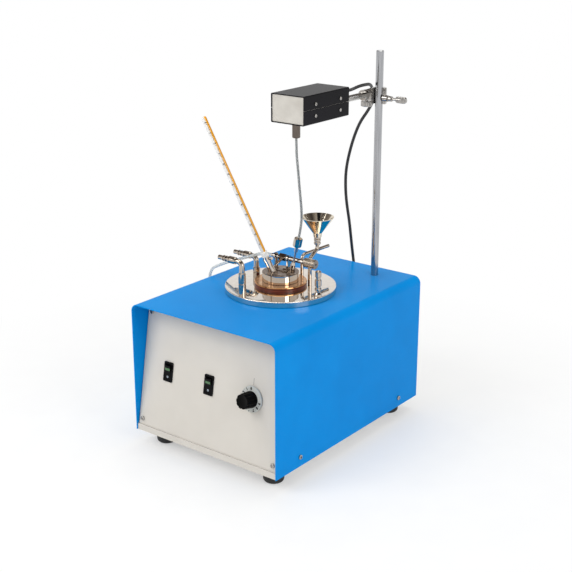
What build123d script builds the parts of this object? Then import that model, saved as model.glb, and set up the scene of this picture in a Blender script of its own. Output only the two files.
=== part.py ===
from build123d import *
import os
from math import cos, pi, radians, sin, sqrt, tan

# Closed-cup flash point tester: sheet-metal bench unit with a water bath, an oil cup with lid,
# thermometer and stirrer, and a stand that carries the stirrer motor over the cup.
# Millimetres. X to the right, Y to the back, Z up. The origin lies under the middle of the housing,
# on the surface that the feet stand on.

# ---- fits -------------------------------------------------------------------------------------
running_gap = 0.05      # radial clearance of a shaft in its own bearing
seat_gap = 0.3          # between parts that are assembled loosely
sheet_gap = 0.3         # between nested sheet-metal parts

# ---- housing ----------------------------------------------------------------------------------
housing_width = 280.0
housing_depth = 380.0
housing_height = 210.0
sheet = 1.5
bend_radius = 12.0
foot_height = 24.0
foot_radius = 16.0
foot_edge_radius = 6.0
foot_inset_x = 32.0     # foot centre from the housing's side
foot_inset_y = 35.0     # foot centre from the housing's ends
tray_flange = 30.0
tray_flange_half = 150.0  # the side flanges stop short of the corner brackets
tray_lip = 10.0
cover_screw_inset = 57.0
cover_screw_rise = 15.7
screw_head_radius = 3.6
screw_head_height = 2.4
screw_radius = 1.9
screw_length = 9.0
screw_clearance = 0.3
counterbore_depth = 12.0

# ---- front panel ------------------------------------------------------------------------------
panel_lean = 10.0       # degrees back from upright
panel_side_gap = 1.0
panel_corner = 11.0     # top corners, inside the cover's bends
panel_screw_inset = 8.5
panel_screw_low = 11.5
panel_screw_high = 183.7
bracket_width = 16.0
bracket_depth = 13.0
control_height = 98.5   # row of controls, up the panel
main_switch_inset = 52.2  # from the panel's left end
stirrer_switch_x = -3.0
regulator_inset = 57.5    # from the panel's right end
switch_width = 17.5
switch_length = 31.0
bezel_height = 2.0
switch_body_width = 14.6
switch_body_length = 27.0
switch_body_depth = 22.0
rocker_well_width = 12.0
rocker_well_length = 25.4
rocker_well_depth = 12.0
rocker_width = 11.2
rocker_half_length = 11.2
rocker_tilt = 10.0
rocker_pivot_depth = 3.0
rocker_pin_radius = 1.2
rocker_pin_half = 7.0
knob_radius = 12.4
knob_top_radius = 11.6
knob_top = 23.5
knob_flutes = 10
knob_flute_radius = 1.5
skirt_radius = 19.8
skirt_top_radius = 18.8
skirt_low = 0.8
skirt_high = 3.2
pot_shaft_radius = 3.0
pot_bush_radius = 4.7
pot_radius = 12.0
pot_depth = 14.0
pot_nut_radius = 7.0
pot_nut_height = 1.4

# ---- rear panel and electrics -----------------------------------------------------------------
rear_recess = 18.0
inlet_inset = 47.5          # from the rear panel's left end
inlet_z = 78.0
inlet_width = 28.0
inlet_height = 48.0
inlet_flange = 3.0
inlet_body_depth = 30.0
socket_width = 24.5
socket_height = 16.5
socket_depth = 17.0
rear_gland_x = -2.0
rear_gland_z = 106.0
gland_radius = 7.0
gland_length = 12.0
gland_grip = 7.0
gland_thread_step = 2.0     # thread's radius under the hexagon's
board_width = 90.0
board_depth = 60.0
board_x = -70.0
board_y = -118.0
board_z = 36.0
board_thickness = 1.6
spacer_inset = 5.0
spacer_radius = 3.0
heat_sink_width = 30.0
heat_sink_inset = 8.0
heat_sink_base = 3.4
heat_sink_height = 22.4
heat_sink_fins = 6
fin_thickness = 1.6
capacitor_radius = 6.0
capacitor_height = 22.0
capacitor_inset = 14.0
relay_size = (16.0, 12.0, 10.4)
transformer_x = 66.0
transformer_y = -120.0
transformer_foot = (74.0, 40.0, 2.0)
transformer_core = (54.0, 28.0, 44.0)
transformer_coil = (34.0, 46.0, 30.0)

# ---- water bath -------------------------------------------------------------------------------
plate_radius = 87.5
plate_thickness = 9.5
plate_edge = 1.0
vessel_radius = 82.5
vessel_wall = 1.2
vessel_depth = 150.0
chamber_radius = 39.0
chamber_wall = 1.0
chamber_depth = 84.0
heater_rise = 11.0
heater_height = 40.0
heater_thickness = 3.2
terminal_box = (24.0, 20.0, 22.0)
terminal_box_x = 20.0
ring_radius = 41.0
ring_height = 4.5
ring_spigot = 6.0

# ---- plate fittings ---------------------------------------------------------------------------
front_coolant = (-15.5, -75.3)
rear_coolant = (-54.6, 7.3)
front_coolant_rise = 51.5       # outlet axis above the plate
rear_coolant_rise = 32.5
coolant_pipe_radius = 4.15
coolant_bore_radius = 2.6
coolant_bend_radius = 8.0
coolant_sleeve_radius = 5.7
coolant_sleeve_drop = 17.0      # sleeve's top under the outlet axis
coolant_groove_radius = 5.1
coolant_groove_share = 0.5      # groove's place up the sleeve
tail_start = 11.0               # hose tail body, from the post's axis
tail_body_radius = 5.6
tail_body_length = 15.0
tail_radius = 3.6
tail_ring_radius = 4.6
tail_length = 19.4
tail_tip_length = 7.0
vent_post = (80.3, -10.3)
vent_post_height = 40.0
vent_post_radius = 4.4
vent_stem_radius = 3.0
vent_stem_length = 6.5
filler_foot = (34.6, 29.8)
filler_head = (31.0, 54.0)
filler_pipe_radius = 3.1
filler_bore_radius = 2.3
filler_rise = 40.5              # foot of the double bend above the plate
filler_bend_radius = 8.0
filler_socket_low = 57.5
filler_socket_high = 70.5
filler_socket_radius = 5.5
funnel_stem_radius = 3.9
funnel_bore_radius = 2.9
funnel_neck_low_radius = 6.6
funnel_neck_high_radius = 7.75
funnel_neck_height = 6.6
funnel_mouth_radius = 26.0
funnel_cone_height = 25.4
funnel_wall = 0.9
overflow_foot = (7.0, 46.0)
overflow_end = (10.0, 113.0)
overflow_radius = 2.75
overflow_bore_radius = 2.0
overflow_rise = 37.5
overflow_bend_radius = 8.0
pipe_depth_below_plate = 18.0

# ---- oil cup and lid --------------------------------------------------------------------------
cup_bore_radius = 25.4
cup_wall = 1.2
cup_base = 1.6
cup_depth = 55.6
cup_flange_radius = 41.3
cup_flange = 2.5
cup_rim_height = 12.5           # rim above the flange's top
gauge_depth = 18.0              # level pin below the rim
gauge_angle = -60.0
lid_radius = 29.0
lid_top = 2.0
lid_skirt_gap = 0.5
thermometer_entry = (-12.0, -7.0)
thermometer_heading = (-0.8486, -0.5291)
thermometer_lean = 23.2
thermometer_radius = 3.25       # stem, in its socket and collar
thermometer_glass_radius = 4.0  # enclosed scale above the collar
thermometer_neck = 1.5          # scale's foot above the collar
thermometer_above = 261.5
thermometer_below = 35.0
bulb_radius = 2.6
bulb_length = 9.0
socket_radius = 5.0
socket_length = 24.0
socket_split = 1.2
socket_split_depth = 13.0
collar_radius = 5.6
collar_length = 9.0
clamp_screw_height = 20.0
stirrer_entry = (16.9, 5.6)
stirrer_lean = 13.6             # towards +X
spindle_radius = 1.5
spindle_below = 50.0
bush_radius = 4.0
bush_length = 18.0
sleeve_radius = 2.65
sleeve_length = 9.0
nut_across_flats = 12.0
nut_length = 14.0
nut_top = 59.0
blade_radius = 8.5
blade_height = 6.0
blade_thickness = 0.8
blade_pitch = 40.0
blades = 4

# ---- test jet and shutter ---------------------------------------------------------------------
jet_axis_y = 13.5
jet_axis_rise = 18.0            # above the lid's top
jet_x = -6.0
jet_rest_dip = 27.0
jet_length = 21.0
jet_tube_radius = 2.6
jet_sleeve_radius = 3.5
jet_left_end = -28.0
jet_sleeve_start = 8.0
jet_right_end = 37.0
valve_radius = 7.3
valve_length = 21.0
valve_stem_radius = 2.0
valve_flutes = 18
left_post_x = -20.0
right_post_x = 5.0
post_thickness = 3.0
post_low_y = 10.0
post_high_y = 17.0
post_lug_radius = 5.2
shutter_low_x = -15.0
shutter_high_x = 11.0
shutter_low_y = -0.2
shutter_high_y = 8.5
shutter_thickness = 0.8
shutter_travel = 12.0
shutter_margin = 1.1            # plate left beside the window
shutter_lead = 2.5              # the window opens ahead of the nozzle
aperture_low_x = -10.0
aperture_high_x = -2.0
rail_width = 0.8
rail_lip = 1.0
front_rails = ((-24.0, -18.8), (-1.5, 11.0))    # x spans, clear of the nozzle and the socket
rear_rails = ((-24.0, -10.5), (-1.5, 11.0))

# ---- stand ------------------------------------------------------------------------------------
rod_x = 74.3
rod_setback = 18.6              # rod's axis in front of the rear panel
rod_radius = 6.0
rod_length = 400.0
rod_insert = 38.0               # length of rod below the housing's top
post_radius = 11.0
arm_x = 51.3
arm_z = 526.0
arm_radius = 5.0
arm_front_y = 46.0
arm_rear_reach = 14.6           # arm's end behind the rod's axis
arm_flange_radius = 8.0
arm_flange_length = 3.0
arm_reach = 12.0
boss_radius = 12.0
boss_low_z = 514.0
boss_high_z = 539.0
boss_arm_radius = 8.4
boss_front_reach = 11.4
boss_rear_reach = 11.6
boss_web = 15.0
boss_web_low = 519.0
boss_web_high = 532.5
clamp_stem_radius = 2.5
clamp_boss_radius = 5.0
lever_boss_start = 8.5          # lever's boss, from the rod's axis
lever_collar_radius = 4.2
lever_neck_radius = 2.1
knob_gap = 1.6                  # knob to the boss above it
clamp_tip_gap = 0.3
lever_z = 523.5
lever_boss_reach = 16.7         # from the rod's axis
lever_collar_reach = 23.7
lever_reach = 50.3
lever_length = 20.0
lever_height = 10.0
lever_thickness = 3.6
arm_knob_radius = 9.0
arm_knob_low = 507.5
arm_knob_high = 516.0

# ---- stirrer head -----------------------------------------------------------------------------
case_width = 60.0
case_depth = 111.0
case_height = 42.5
case_centre = (51.3, 6.2)
case_low_z = 509.7
case_sheet = 1.5
case_seam = 0.7
case_bend_radius = 1.8
end_plate_recess = 1.0
end_plate = 1.2
rail_margin = 3.0
case_screw_ys = (-21.9, 39.4)
case_screw_rise_low = 11.6
case_screw_rise_high = 28.5
case_screw_head_radius = 2.5
case_screw_head_height = 1.4
case_screw_radius = 1.4
case_screw_length = 4.5
drive_at = (52.0, -29.0)
motor_radius = 17.0
motor_height = 33.0
motor_wall = 2.0
rotor_radius = 13.5
rotor_shaft_radius = 1.5
spigot_radius = 6.0
spigot_length = 22.7
spigot_bore_radius = 3.0
spigot_bore_depth = 13.0
head_gland_x = 60.0
head_gland_z = 541.0
head_gland_radius = 5.5
head_gland_length = 10.3
head_gland_grip = 5.0

# ---- flexible drive shaft, motor cable and gas tube -------------------------------------------
flex_radius = 2.0
cable_radius = 2.5
gas_tube_radius = 2.4
gas_coil_mid_radius = 26.0
gas_coil_turns = 3
gas_coil_at = (-181.0, 96.0)
gas_coil_stub = 20.0

# ---- levels worked out from the sizes above ---------------------------------------------------
cover_low = foot_height
cover_top = cover_low + housing_height
inner_half_width = housing_width / 2 - sheet
tray_half_width = inner_half_width - sheet_gap
half_depth = housing_depth / 2
tray_floor = cover_low + sheet
plate_top = cover_top + plate_thickness
ring_top = plate_top + ring_height
flange_top = ring_top + cup_flange
cup_rim = flange_top + cup_rim_height
cup_radius = cup_bore_radius + cup_wall
lid_z = cup_rim + lid_top
jet_axis_z = lid_z + jet_axis_rise
case_top_z = case_low_z + case_height
seam_z = case_low_z + case_height / 2
rear_panel_y = half_depth - rear_recess
panel_half_width = inner_half_width - panel_side_gap
main_switch_x = main_switch_inset - panel_half_width
regulator_x = panel_half_width - regulator_inset
inlet_x = inlet_inset - panel_half_width
rod_at = (rod_x, rear_panel_y - rod_setback)
arm_rear_y = rod_at[1] + arm_rear_reach
boss_front_y = rod_at[1] - boss_front_reach
boss_rear_y = rod_at[1] + boss_rear_reach
lever_boss_x = rod_x + lever_boss_reach
lever_collar_x = rod_x + lever_collar_reach
lever_end_x = rod_x + lever_reach
rod_low_z = cover_top - rod_insert


# ---- building blocks --------------------------------------------------------------------------
def block(x0, x1, y0, y1, z0, z1):
    """Box between two corners."""
    centre = Pos((x0 + x1) / 2, (y0 + y1) / 2, (z0 + z1) / 2)
    return centre * Box(x1 - x0, y1 - y0, z1 - z0)


def post(at, z0, z1, radius):
    """Upright round bar."""
    return Pos(at[0], at[1], (z0 + z1) / 2) * Cylinder(radius, z1 - z0)


def bar(start, heading, s0, s1, radius, top_radius=None):
    """Round or tapered bar along heading, from s0 to s1 past start."""
    frame = Plane(origin=Vector(*start), z_dir=Vector(*heading))
    low = (Align.CENTER, Align.CENTER, Align.MIN)
    if top_radius is None:
        shape = Cylinder(radius, s1 - s0, align=low)
    else:
        shape = Cone(radius, top_radius, s1 - s0, align=low)
    return frame * Pos(0, 0, s0) * shape


def turned(at, profile):
    """Solid of revolution about an upright axis, from (radius, z) points."""
    outline = Polyline(*[(r, 0, z) for r, z in profile], close=True)
    face = make_face(outline)
    return Pos(at[0], at[1], 0) * revolve(face, Axis.Z)


def bent_tube(points, bend, radius, bore):
    """Pipe of one bend radius along straight runs."""
    path = FilletPolyline(*points, radius=bend)
    heading = Vector(*points[1]) - Vector(*points[0])
    mouth = Plane(origin=Vector(*points[0]), z_dir=heading)
    outer = sweep(mouth * Circle(radius), path=path)
    return outer - sweep(mouth * Circle(bore), path=path)


def corner_radii(points):
    """Largest tangent arc for each corner of a cord's route."""
    spots = [Vector(*p) for p in points]
    radii = []
    for before, corner, after in zip(spots, spots[1:], spots[2:]):
        run_in = corner - before
        run_out = after - corner
        turn = radians(run_in.get_angle(run_out))
        radii.append(0.45 * min(run_in.length, run_out.length) / tan(turn / 2))
    return radii


def cord(name, points, radius):
    """Solid cord along straight runs joined by tangent arcs."""
    radii = corner_radii(points)
    path = FilletPolyline(*points, radius=radii)
    heading = Vector(*points[1]) - Vector(*points[0])
    mouth = Plane(origin=Vector(*points[0]), z_dir=heading)
    solid = sweep(mouth * Circle(radius), path=path)
    share = solid.volume / (pi * radius**2 * path.length)
    print(name, "length", round(path.length, 1), "volume share", round(share, 4))
    print("  radii", [round(r, 1) for r in radii])
    return solid


def group(*solids):
    """Separate solids kept in one node."""
    return Compound(children=list(solids))


parts = {}


def keep(name, shape):
    parts[name] = shape


# ---- frames that lean -------------------------------------------------------------------------
lean = radians(panel_lean)
panel_foot_y = -half_depth + sheet + sheet + sheet_gap
panel_foot_z = cover_low + tray_lip - 2.0
panel_plane = Plane(
    origin=(0, panel_foot_y, panel_foot_z), x_dir=(1, 0, 0), z_dir=(0, -cos(lean), sin(lean))
)
panel_height = (cover_top - sheet - sheet_gap - panel_foot_z) / cos(lean)


def on_panel(x, h, n=0.0):
    """Place on the front panel: x across, h up the panel, n out of it."""
    return panel_plane * Pos(x, h, n)


def panel_block(x, h, width, height, n0, n1):
    return on_panel(x, h, (n0 + n1) / 2) * Box(width, height, n1 - n0)


therm_tilt = radians(thermometer_lean)
therm_axis = (
    thermometer_heading[0] * sin(therm_tilt),
    thermometer_heading[1] * sin(therm_tilt),
    cos(therm_tilt),
)
therm_foot = (*thermometer_entry, lid_z)
stir_tilt = radians(stirrer_lean)
stir_axis = (sin(stir_tilt), 0.0, cos(stir_tilt))
stir_foot = (*stirrer_entry, lid_z)


def along(foot, axis, s):
    return tuple(f + a * s for f, a in zip(foot, axis))


# ---- fasteners --------------------------------------------------------------------------------
def pan_screw(place, head_radius, head_height, radius, length):
    """Pan-head screw: head above the plane of place, shank below it."""
    head = Pos(0, 0, head_height / 2) * Cylinder(head_radius, head_height)
    head = fillet(head.edges().sort_by(Axis.Z)[-1], head_height * 0.4)
    slot = Pos(0, 0, head_height) * Box(head_radius * 1.2, head_radius * 0.28, head_height * 0.8)
    cross = slot + Rot(0, 0, 90) * slot
    shank = Pos(0, 0, -length / 2) * Cylinder(radius, length)
    return place * (head - cross + shank)


def panel_screw_places():
    half = housing_width / 2 - panel_screw_inset - sheet
    front = [
        on_panel(side * half, h) for side in (-1, 1) for h in (panel_screw_low, panel_screw_high)
    ]
    rear_heights = (cover_low + panel_screw_low + 8, cover_top - 22)
    rear = [
        Plane(origin=(side * half, rear_panel_y, z), x_dir=(-1, 0, 0), z_dir=(0, 1, 0)) * Pos(0, 0)
        for side in (-1, 1)
        for z in rear_heights
    ]
    return front, rear


def cover_screw_places():
    places = []
    for side in (-1, 1):
        for y in (-half_depth + cover_screw_inset, half_depth - cover_screw_inset):
            origin = (side * housing_width / 2, y, cover_low + cover_screw_rise)
            places.append(Plane(origin=origin, x_dir=(0, 1, 0), z_dir=(side, 0, 0)) * Pos(0, 0))
    return places


def drill(place, radius, depth):
    """Round cutter centred on the plane of place."""
    return place * Cylinder(radius, 2 * depth)


front_screws, rear_screws = panel_screw_places()
cover_screws = cover_screw_places()


# ---- housing ----------------------------------------------------------------------------------
def arch(width, height, radius, depth):
    """Solid with two rounded top edges, standing on the cover's lower edge."""
    solid = block(-width / 2, width / 2, -depth / 2, depth / 2, cover_low, cover_low + height)
    top_edges = solid.edges().filter_by(Axis.Y).group_by(Axis.Z)[-1]
    return fillet(top_edges, radius)


def front_bracket(side, h):
    """Angle welded inside the cover that a front panel screw bites into."""
    width = bracket_width + panel_side_gap
    x = side * (inner_half_width - width / 2)
    face = panel_block(x, h, width, bracket_width, -2 * sheet, -sheet)
    wing_x = side * (inner_half_width - sheet / 2)
    return face + panel_block(wing_x, h, sheet, bracket_width, -bracket_depth, -sheet)


def rear_bracket(side, z):
    x_out = side * inner_half_width
    x_in = side * (inner_half_width - bracket_width - panel_side_gap)
    low_x, high_x = sorted((x_out, x_in))
    face_y = rear_panel_y - sheet
    half = bracket_width / 2
    face = block(low_x, high_x, face_y - sheet, face_y, z - half, z + half)
    low_x, high_x = sorted((x_out, x_out - side * sheet))
    return face + block(low_x, high_x, face_y - bracket_depth, face_y, z - half, z + half)


def make_cover():
    shell = arch(housing_width, housing_height, bend_radius, housing_depth)
    hollow = arch(
        housing_width - 2 * sheet, housing_height - sheet, bend_radius - sheet, housing_depth + 2
    )
    shell -= hollow
    shell -= post((0, 0), cover_top - 5, cover_top + 5, vessel_radius + 2 * seat_gap)
    shell -= post(rod_at, cover_top - 5, cover_top + 5, rod_radius + seat_gap)
    for place in cover_screws:
        shell -= drill(place, screw_radius + screw_clearance, 5)
    for side in (-1, 1):
        for h in (panel_screw_low, panel_screw_high):
            shell += front_bracket(side, h)
        for z in (cover_low + panel_screw_low + 8, cover_top - 22):
            shell += rear_bracket(side, z)
    for place in front_screws + rear_screws:
        shell -= drill(place, screw_radius + 0.1, screw_length)
    return shell


def make_tray():
    end_y = half_depth - sheet
    floor = block(-tray_half_width, tray_half_width, -end_y, end_y, cover_low, tray_floor)
    for side in (-1, 1):
        low_x, high_x = sorted((side * tray_half_width, side * (tray_half_width - sheet)))
        flange_top_z = cover_low + tray_flange
        floor += block(low_x, high_x, -tray_flange_half, tray_flange_half, cover_low, flange_top_z)
    lip_half = tray_half_width
    floor += block(-lip_half, lip_half, -end_y, -end_y + sheet, cover_low, cover_low + tray_lip)
    for x, y in foot_places:
        floor -= post((x, y), cover_low - 1, tray_floor + 1, screw_radius + screw_clearance)
    for place in cover_screws:
        floor -= drill(place, screw_radius + 0.1, 6)
    return floor


foot_places = [
    (x, y)
    for x in (-housing_width / 2 + foot_inset_x, housing_width / 2 - foot_inset_x)
    for y in (-half_depth + foot_inset_y, half_depth - foot_inset_y)
]


def make_foot(at):
    foot = post(at, 0, foot_height, foot_radius)
    foot = fillet(foot.edges().sort_by(Axis.Z)[0], foot_edge_radius)
    foot -= post(at, -1, counterbore_depth, screw_head_radius + 1.2)
    return foot - post(at, 0, foot_height + 1, screw_radius + screw_clearance)


def make_foot_screw(at):
    place = Pos(at[0], at[1], counterbore_depth) * Rot(180, 0, 0)
    reach = foot_height - counterbore_depth + sheet + 6.0
    screw = pan_screw(place, screw_head_radius, screw_head_height, screw_radius, reach)
    nut_low = tray_floor
    nut = Pos(at[0], at[1], nut_low + 1.6) * extrude(RegularPolygon(4.0, 6), 1.6, both=True)
    return screw + nut


keep("cover", make_cover())
keep("base_tray", make_tray())
keep("rubber_feet", group(*[make_foot(at) for at in foot_places]))
keep("foot_screws", group(*[make_foot_screw(at) for at in foot_places]))
keep(
    "housing_screws",
    group(
        *[
            pan_screw(place, screw_head_radius, screw_head_height, screw_radius, screw_length)
            for place in front_screws + rear_screws + cover_screws
        ]
    ),
)


# ---- front panel and its controls -------------------------------------------------------------
def make_front_panel():
    panel = panel_block(
        0, panel_height / 2, 2 * panel_half_width, panel_height, -sheet, 0
    )
    corners = panel.edges().filter_by(Axis((0, 0, 0), panel_plane.z_dir)).group_by(Axis.Z)[-1]
    panel = fillet(corners, panel_corner)
    for x in (main_switch_x, stirrer_switch_x):
        cut_width = switch_body_width + sheet_gap
        cut_length = switch_body_length + sheet_gap
        panel -= panel_block(x, control_height, cut_width, cut_length, -4, 4)
    panel -= drill(on_panel(regulator_x, control_height), pot_bush_radius + 0.2, 4)
    for place in front_screws:
        panel -= drill(place, screw_radius + screw_clearance, 4)
    return panel


def make_switch_body(x):
    body = panel_block(x, control_height, switch_width, switch_length, 0, bezel_height)
    body = fillet(body.edges().filter_by(Axis((0, 0, 0), panel_plane.z_dir)), 1.5)
    body += panel_block(
        x, control_height, switch_body_width, switch_body_length, -switch_body_depth, 0
    )
    body -= panel_block(
        x, control_height, rocker_well_width, rocker_well_length, -rocker_well_depth, bezel_height + 1
    )
    pin_line = on_panel(x, control_height, -rocker_pivot_depth) * Rot(0, 90, 0)
    body -= pin_line * Cylinder(rocker_pin_radius + running_gap, 2 * rocker_pin_half + 0.2)
    for h in (-8.0, 0.0, 8.0):
        body += panel_block(
            x, control_height + h, 6.3, 0.8, -switch_body_depth - 8.0, -switch_body_depth
        )
    return body


def make_rocker(x):
    """Rocker that leans on its lower half, with its pivot pins."""
    ends = rocker_half_length
    depth = rocker_pivot_depth
    outline = Polyline(
        (-ends, 3.6 + depth),
        (0, 2.4 + depth),
        (ends, 3.6 + depth),
        (ends, -3.0),
        (3.0, -6.5),
        (-3.0, -6.5),
        (-ends, -3.0),
        close=True,
    )
    # local X runs up the panel, local Y out of it
    profile = Plane(origin=(0, 0, 0), x_dir=(0, 1, 0), z_dir=(1, 0, 0)) * make_face(outline)
    solid = extrude(profile, rocker_width / 2, both=True)
    pin = Rot(0, 90, 0) * Cylinder(rocker_pin_radius, 2 * rocker_pin_half)
    pivot = on_panel(x, control_height, -rocker_pivot_depth)
    return pivot * Rot(rocker_tilt, 0, 0) * (solid + pin)


def make_regulator_pot():
    place = on_panel(regulator_x, control_height)
    can_low = -sheet - pot_depth
    pot = place * Pos(0, 0, (can_low - sheet) / 2) * Cylinder(pot_radius, pot_depth)
    pot += place * Pos(0, 0, -1) * Cylinder(pot_bush_radius, 2 * (1 + pot_nut_height))
    nut = place * Pos(0, 0, pot_nut_height / 2) * Cylinder(pot_nut_radius, pot_nut_height)
    pot += nut
    for x in (-5.0, 0.0, 5.0):
        tag = panel_block(regulator_x + x, control_height - pot_radius - 3, 2.4, 8.0, -11.0, -10.2)
        pot += tag
    return pot - place * Pos(0, 0, -4) * Cylinder(pot_shaft_radius + running_gap, 16)


def make_regulator_knob():
    place = on_panel(regulator_x, control_height)
    low = (Align.CENTER, Align.CENTER, Align.MIN)
    skirt_height = skirt_high - skirt_low
    grip_height = knob_top - skirt_high
    skirt = Pos(0, 0, skirt_low) * Cone(skirt_radius, skirt_top_radius, skirt_height, align=low)
    grip = Pos(0, 0, skirt_high) * Cone(knob_radius, knob_top_radius, grip_height, align=low)
    grip = fillet(grip.edges().sort_by(Axis.Z)[-1], 1.2)
    for k in range(knob_flutes):
        turn = Rot(0, 0, 360 * k / knob_flutes)
        flute = Pos(knob_radius + 0.3, 0, skirt_high + 2.5) * Cylinder(
            knob_flute_radius, knob_top, align=low
        )
        grip -= turn * flute
    knob = skirt + grip
    knob -= Pos(0, 0, 0) * Cylinder(pot_nut_radius + 1.0, 2 * (pot_nut_height + 0.4))
    shaft = Pos(0, 0, -10.0) * Cylinder(pot_shaft_radius, skirt_high + 12.0, align=low)
    return place * (knob + shaft)


keep("front_panel", make_front_panel())
keep("main_switch_body", make_switch_body(main_switch_x))
keep("main_switch_rocker", make_rocker(main_switch_x))
keep("stirrer_switch_body", make_switch_body(stirrer_switch_x))
keep("stirrer_switch_rocker", make_rocker(stirrer_switch_x))
keep("regulator_pot", make_regulator_pot())
keep("regulator_knob", make_regulator_knob())


# ---- rear panel, inlet and electrics ----------------------------------------------------------
def make_rear_panel():
    panel = block(
        -panel_half_width,
        panel_half_width,
        rear_panel_y - sheet,
        rear_panel_y,
        tray_floor + sheet_gap,
        cover_top - sheet - sheet_gap,
    )
    panel = fillet(panel.edges().filter_by(Axis.Y).group_by(Axis.Z)[-1], panel_corner)
    body_w = inlet_width - 4
    body_h = inlet_height - 4
    panel -= Pos(inlet_x, rear_panel_y, inlet_z) * Box(body_w + 0.6, 10, body_h + 0.6)
    gland_hole = Pos(rear_gland_x, rear_panel_y, rear_gland_z) * Rot(90, 0, 0)
    panel -= gland_hole * Cylinder(gland_radius - gland_thread_step + 0.2, 10)
    for place in rear_screws:
        panel -= drill(place, screw_radius + screw_clearance, 4)
    return panel


def make_inlet():
    """Mains inlet with a fuse drawer above its socket."""
    inlet = Pos(inlet_x, rear_panel_y + inlet_flange / 2, inlet_z) * Box(
        inlet_width, inlet_flange, inlet_height
    )
    inlet = fillet(inlet.edges().filter_by(Axis.Y), 3.0)
    body_mid = rear_panel_y - inlet_body_depth / 2
    inlet += Pos(inlet_x, body_mid, inlet_z) * Box(
        inlet_width - 4, inlet_body_depth, inlet_height - 4
    )
    socket_z = inlet_z - 9.0
    face_y = rear_panel_y + inlet_flange
    hollow = block(
        inlet_x - socket_width / 2 + 1,
        inlet_x + socket_width / 2 - 1,
        face_y - socket_depth,
        face_y + 1,
        socket_z - socket_height / 2,
        socket_z + socket_height / 2,
    )
    inlet -= hollow
    blade_y0 = face_y - socket_depth - 1.0
    blade_y1 = face_y - 3.0
    for dx, dz in ((-7.0, -2.5), (0.0, 2.5), (7.0, -2.5)):
        inlet += block(
            inlet_x + dx - 1, inlet_x + dx + 1, blade_y0, blade_y1, socket_z + dz - 2, socket_z + dz + 2
        )
    drawer_z = inlet_z + 13.5
    drawer = Pos(inlet_x, face_y, drawer_z) * Box(inlet_width - 8, 2.4, 11.0)
    inlet += fillet(drawer.edges().filter_by(Axis.Y), 1.0)
    for dx in (-7.0, 0.0, 7.0):
        inlet += Pos(inlet_x + dx, rear_panel_y - inlet_body_depth - 4, socket_z) * Box(6.3, 8.0, 0.8)
    return inlet


def make_gland(at, radius, length, grip):
    """Cable gland along +Y: lock nut inside, hexagon and tapered nose outside."""
    frame = Plane(origin=at, x_dir=(1, 0, 0), z_dir=(0, 1, 0))
    hexagon = length * 0.45
    low = (Align.CENTER, Align.CENTER, Align.MIN)
    collar = extrude(frame * RegularPolygon(radius, 6), hexagon)
    nose = Cone(radius * 0.82, cable_radius + 1.0, length - hexagon, align=low)
    thread = frame * Pos(0, 0, -grip / 2) * Cylinder(radius - gland_thread_step, grip)
    lock = extrude(frame.offset(-grip) * RegularPolygon(radius, 6), grip - sheet - 0.1)
    return collar + frame * Pos(0, 0, hexagon) * nose + thread + lock


def make_board():
    """Heater and stirrer control board on four spacers, with its transformer beside it."""
    x0, x1 = board_x - board_width / 2, board_x + board_width / 2
    y0, y1 = board_y - board_depth / 2, board_y + board_depth / 2
    face = board_z + board_thickness
    board = block(x0, x1, y0, y1, board_z, face)
    for x in (x0 + spacer_inset, x1 - spacer_inset):
        for y in (y0 + spacer_inset, y1 - spacer_inset):
            board += post((x, y), tray_floor, board_z, spacer_radius)
    sink_x = x0 + heat_sink_inset
    fins_y = (y0 + 2 * spacer_inset, y1 - 2 * spacer_inset)
    board += block(sink_x, sink_x + heat_sink_width, *fins_y, face, face + heat_sink_base)
    fin_pitch = (heat_sink_width - fin_thickness) / (heat_sink_fins - 1)
    for k in range(heat_sink_fins):
        fin_x = sink_x + fin_pitch * k
        board += block(fin_x, fin_x + fin_thickness, *fins_y, face, face + heat_sink_height)
    capacitor_x = x1 - capacitor_inset
    for y in (y0 + capacitor_inset, y1 - capacitor_inset):
        board += post((capacitor_x, y), face, face + capacitor_height, capacitor_radius)
    relay_x = x1 - capacitor_inset - 2 * capacitor_radius - relay_size[0]
    relay_y = board_y - relay_size[1] / 2
    return board + block(
        relay_x, relay_x + relay_size[0], relay_y, relay_y + relay_size[1], face, face + relay_size[2]
    )


def make_transformer():
    core_z = tray_floor + transformer_foot[2] + transformer_core[2] / 2
    foot_z = tray_floor + transformer_foot[2] / 2
    foot = Pos(transformer_x, transformer_y, foot_z) * Box(*transformer_foot)
    core = Pos(transformer_x, transformer_y, core_z) * Box(*transformer_core)
    coil = Pos(transformer_x, transformer_y, core_z) * Box(*transformer_coil)
    return foot + core + fillet(coil.edges().filter_by(Axis.Z), 5.0)


keep("rear_panel", make_rear_panel())
keep("mains_inlet", make_inlet())
keep(
    "rear_gland",
    make_gland((rear_gland_x, rear_panel_y, rear_gland_z), gland_radius, gland_length, gland_grip),
)
keep("control_board", group(make_board(), make_transformer()))


# ---- water bath -------------------------------------------------------------------------------
plate_stems = (
    (front_coolant, coolant_pipe_radius),
    (rear_coolant, coolant_pipe_radius),
    (filler_foot, filler_pipe_radius),
    (overflow_foot, overflow_radius),
)


def make_bath_plate():
    plate = post((0, 0), cover_top, plate_top, plate_radius)
    plate = fillet(plate.edges().filter_by(GeomType.CIRCLE), plate_edge)
    plate -= post((0, 0), cover_top - 1, plate_top + 1, chamber_radius - chamber_wall)
    for at, radius in plate_stems:
        plate -= post(at, cover_top - 1, plate_top + 1, radius + 0.1)
    stem_low = plate_top - vent_stem_length - 0.2
    return plate - post(vent_post, stem_low, plate_top + 1, vent_stem_radius + running_gap)


def make_vessel():
    low = cover_top - vessel_depth
    vessel = post((0, 0), low, cover_top, vessel_radius)
    return vessel - post((0, 0), low + vessel_wall, cover_top + 1, vessel_radius - vessel_wall)


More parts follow.
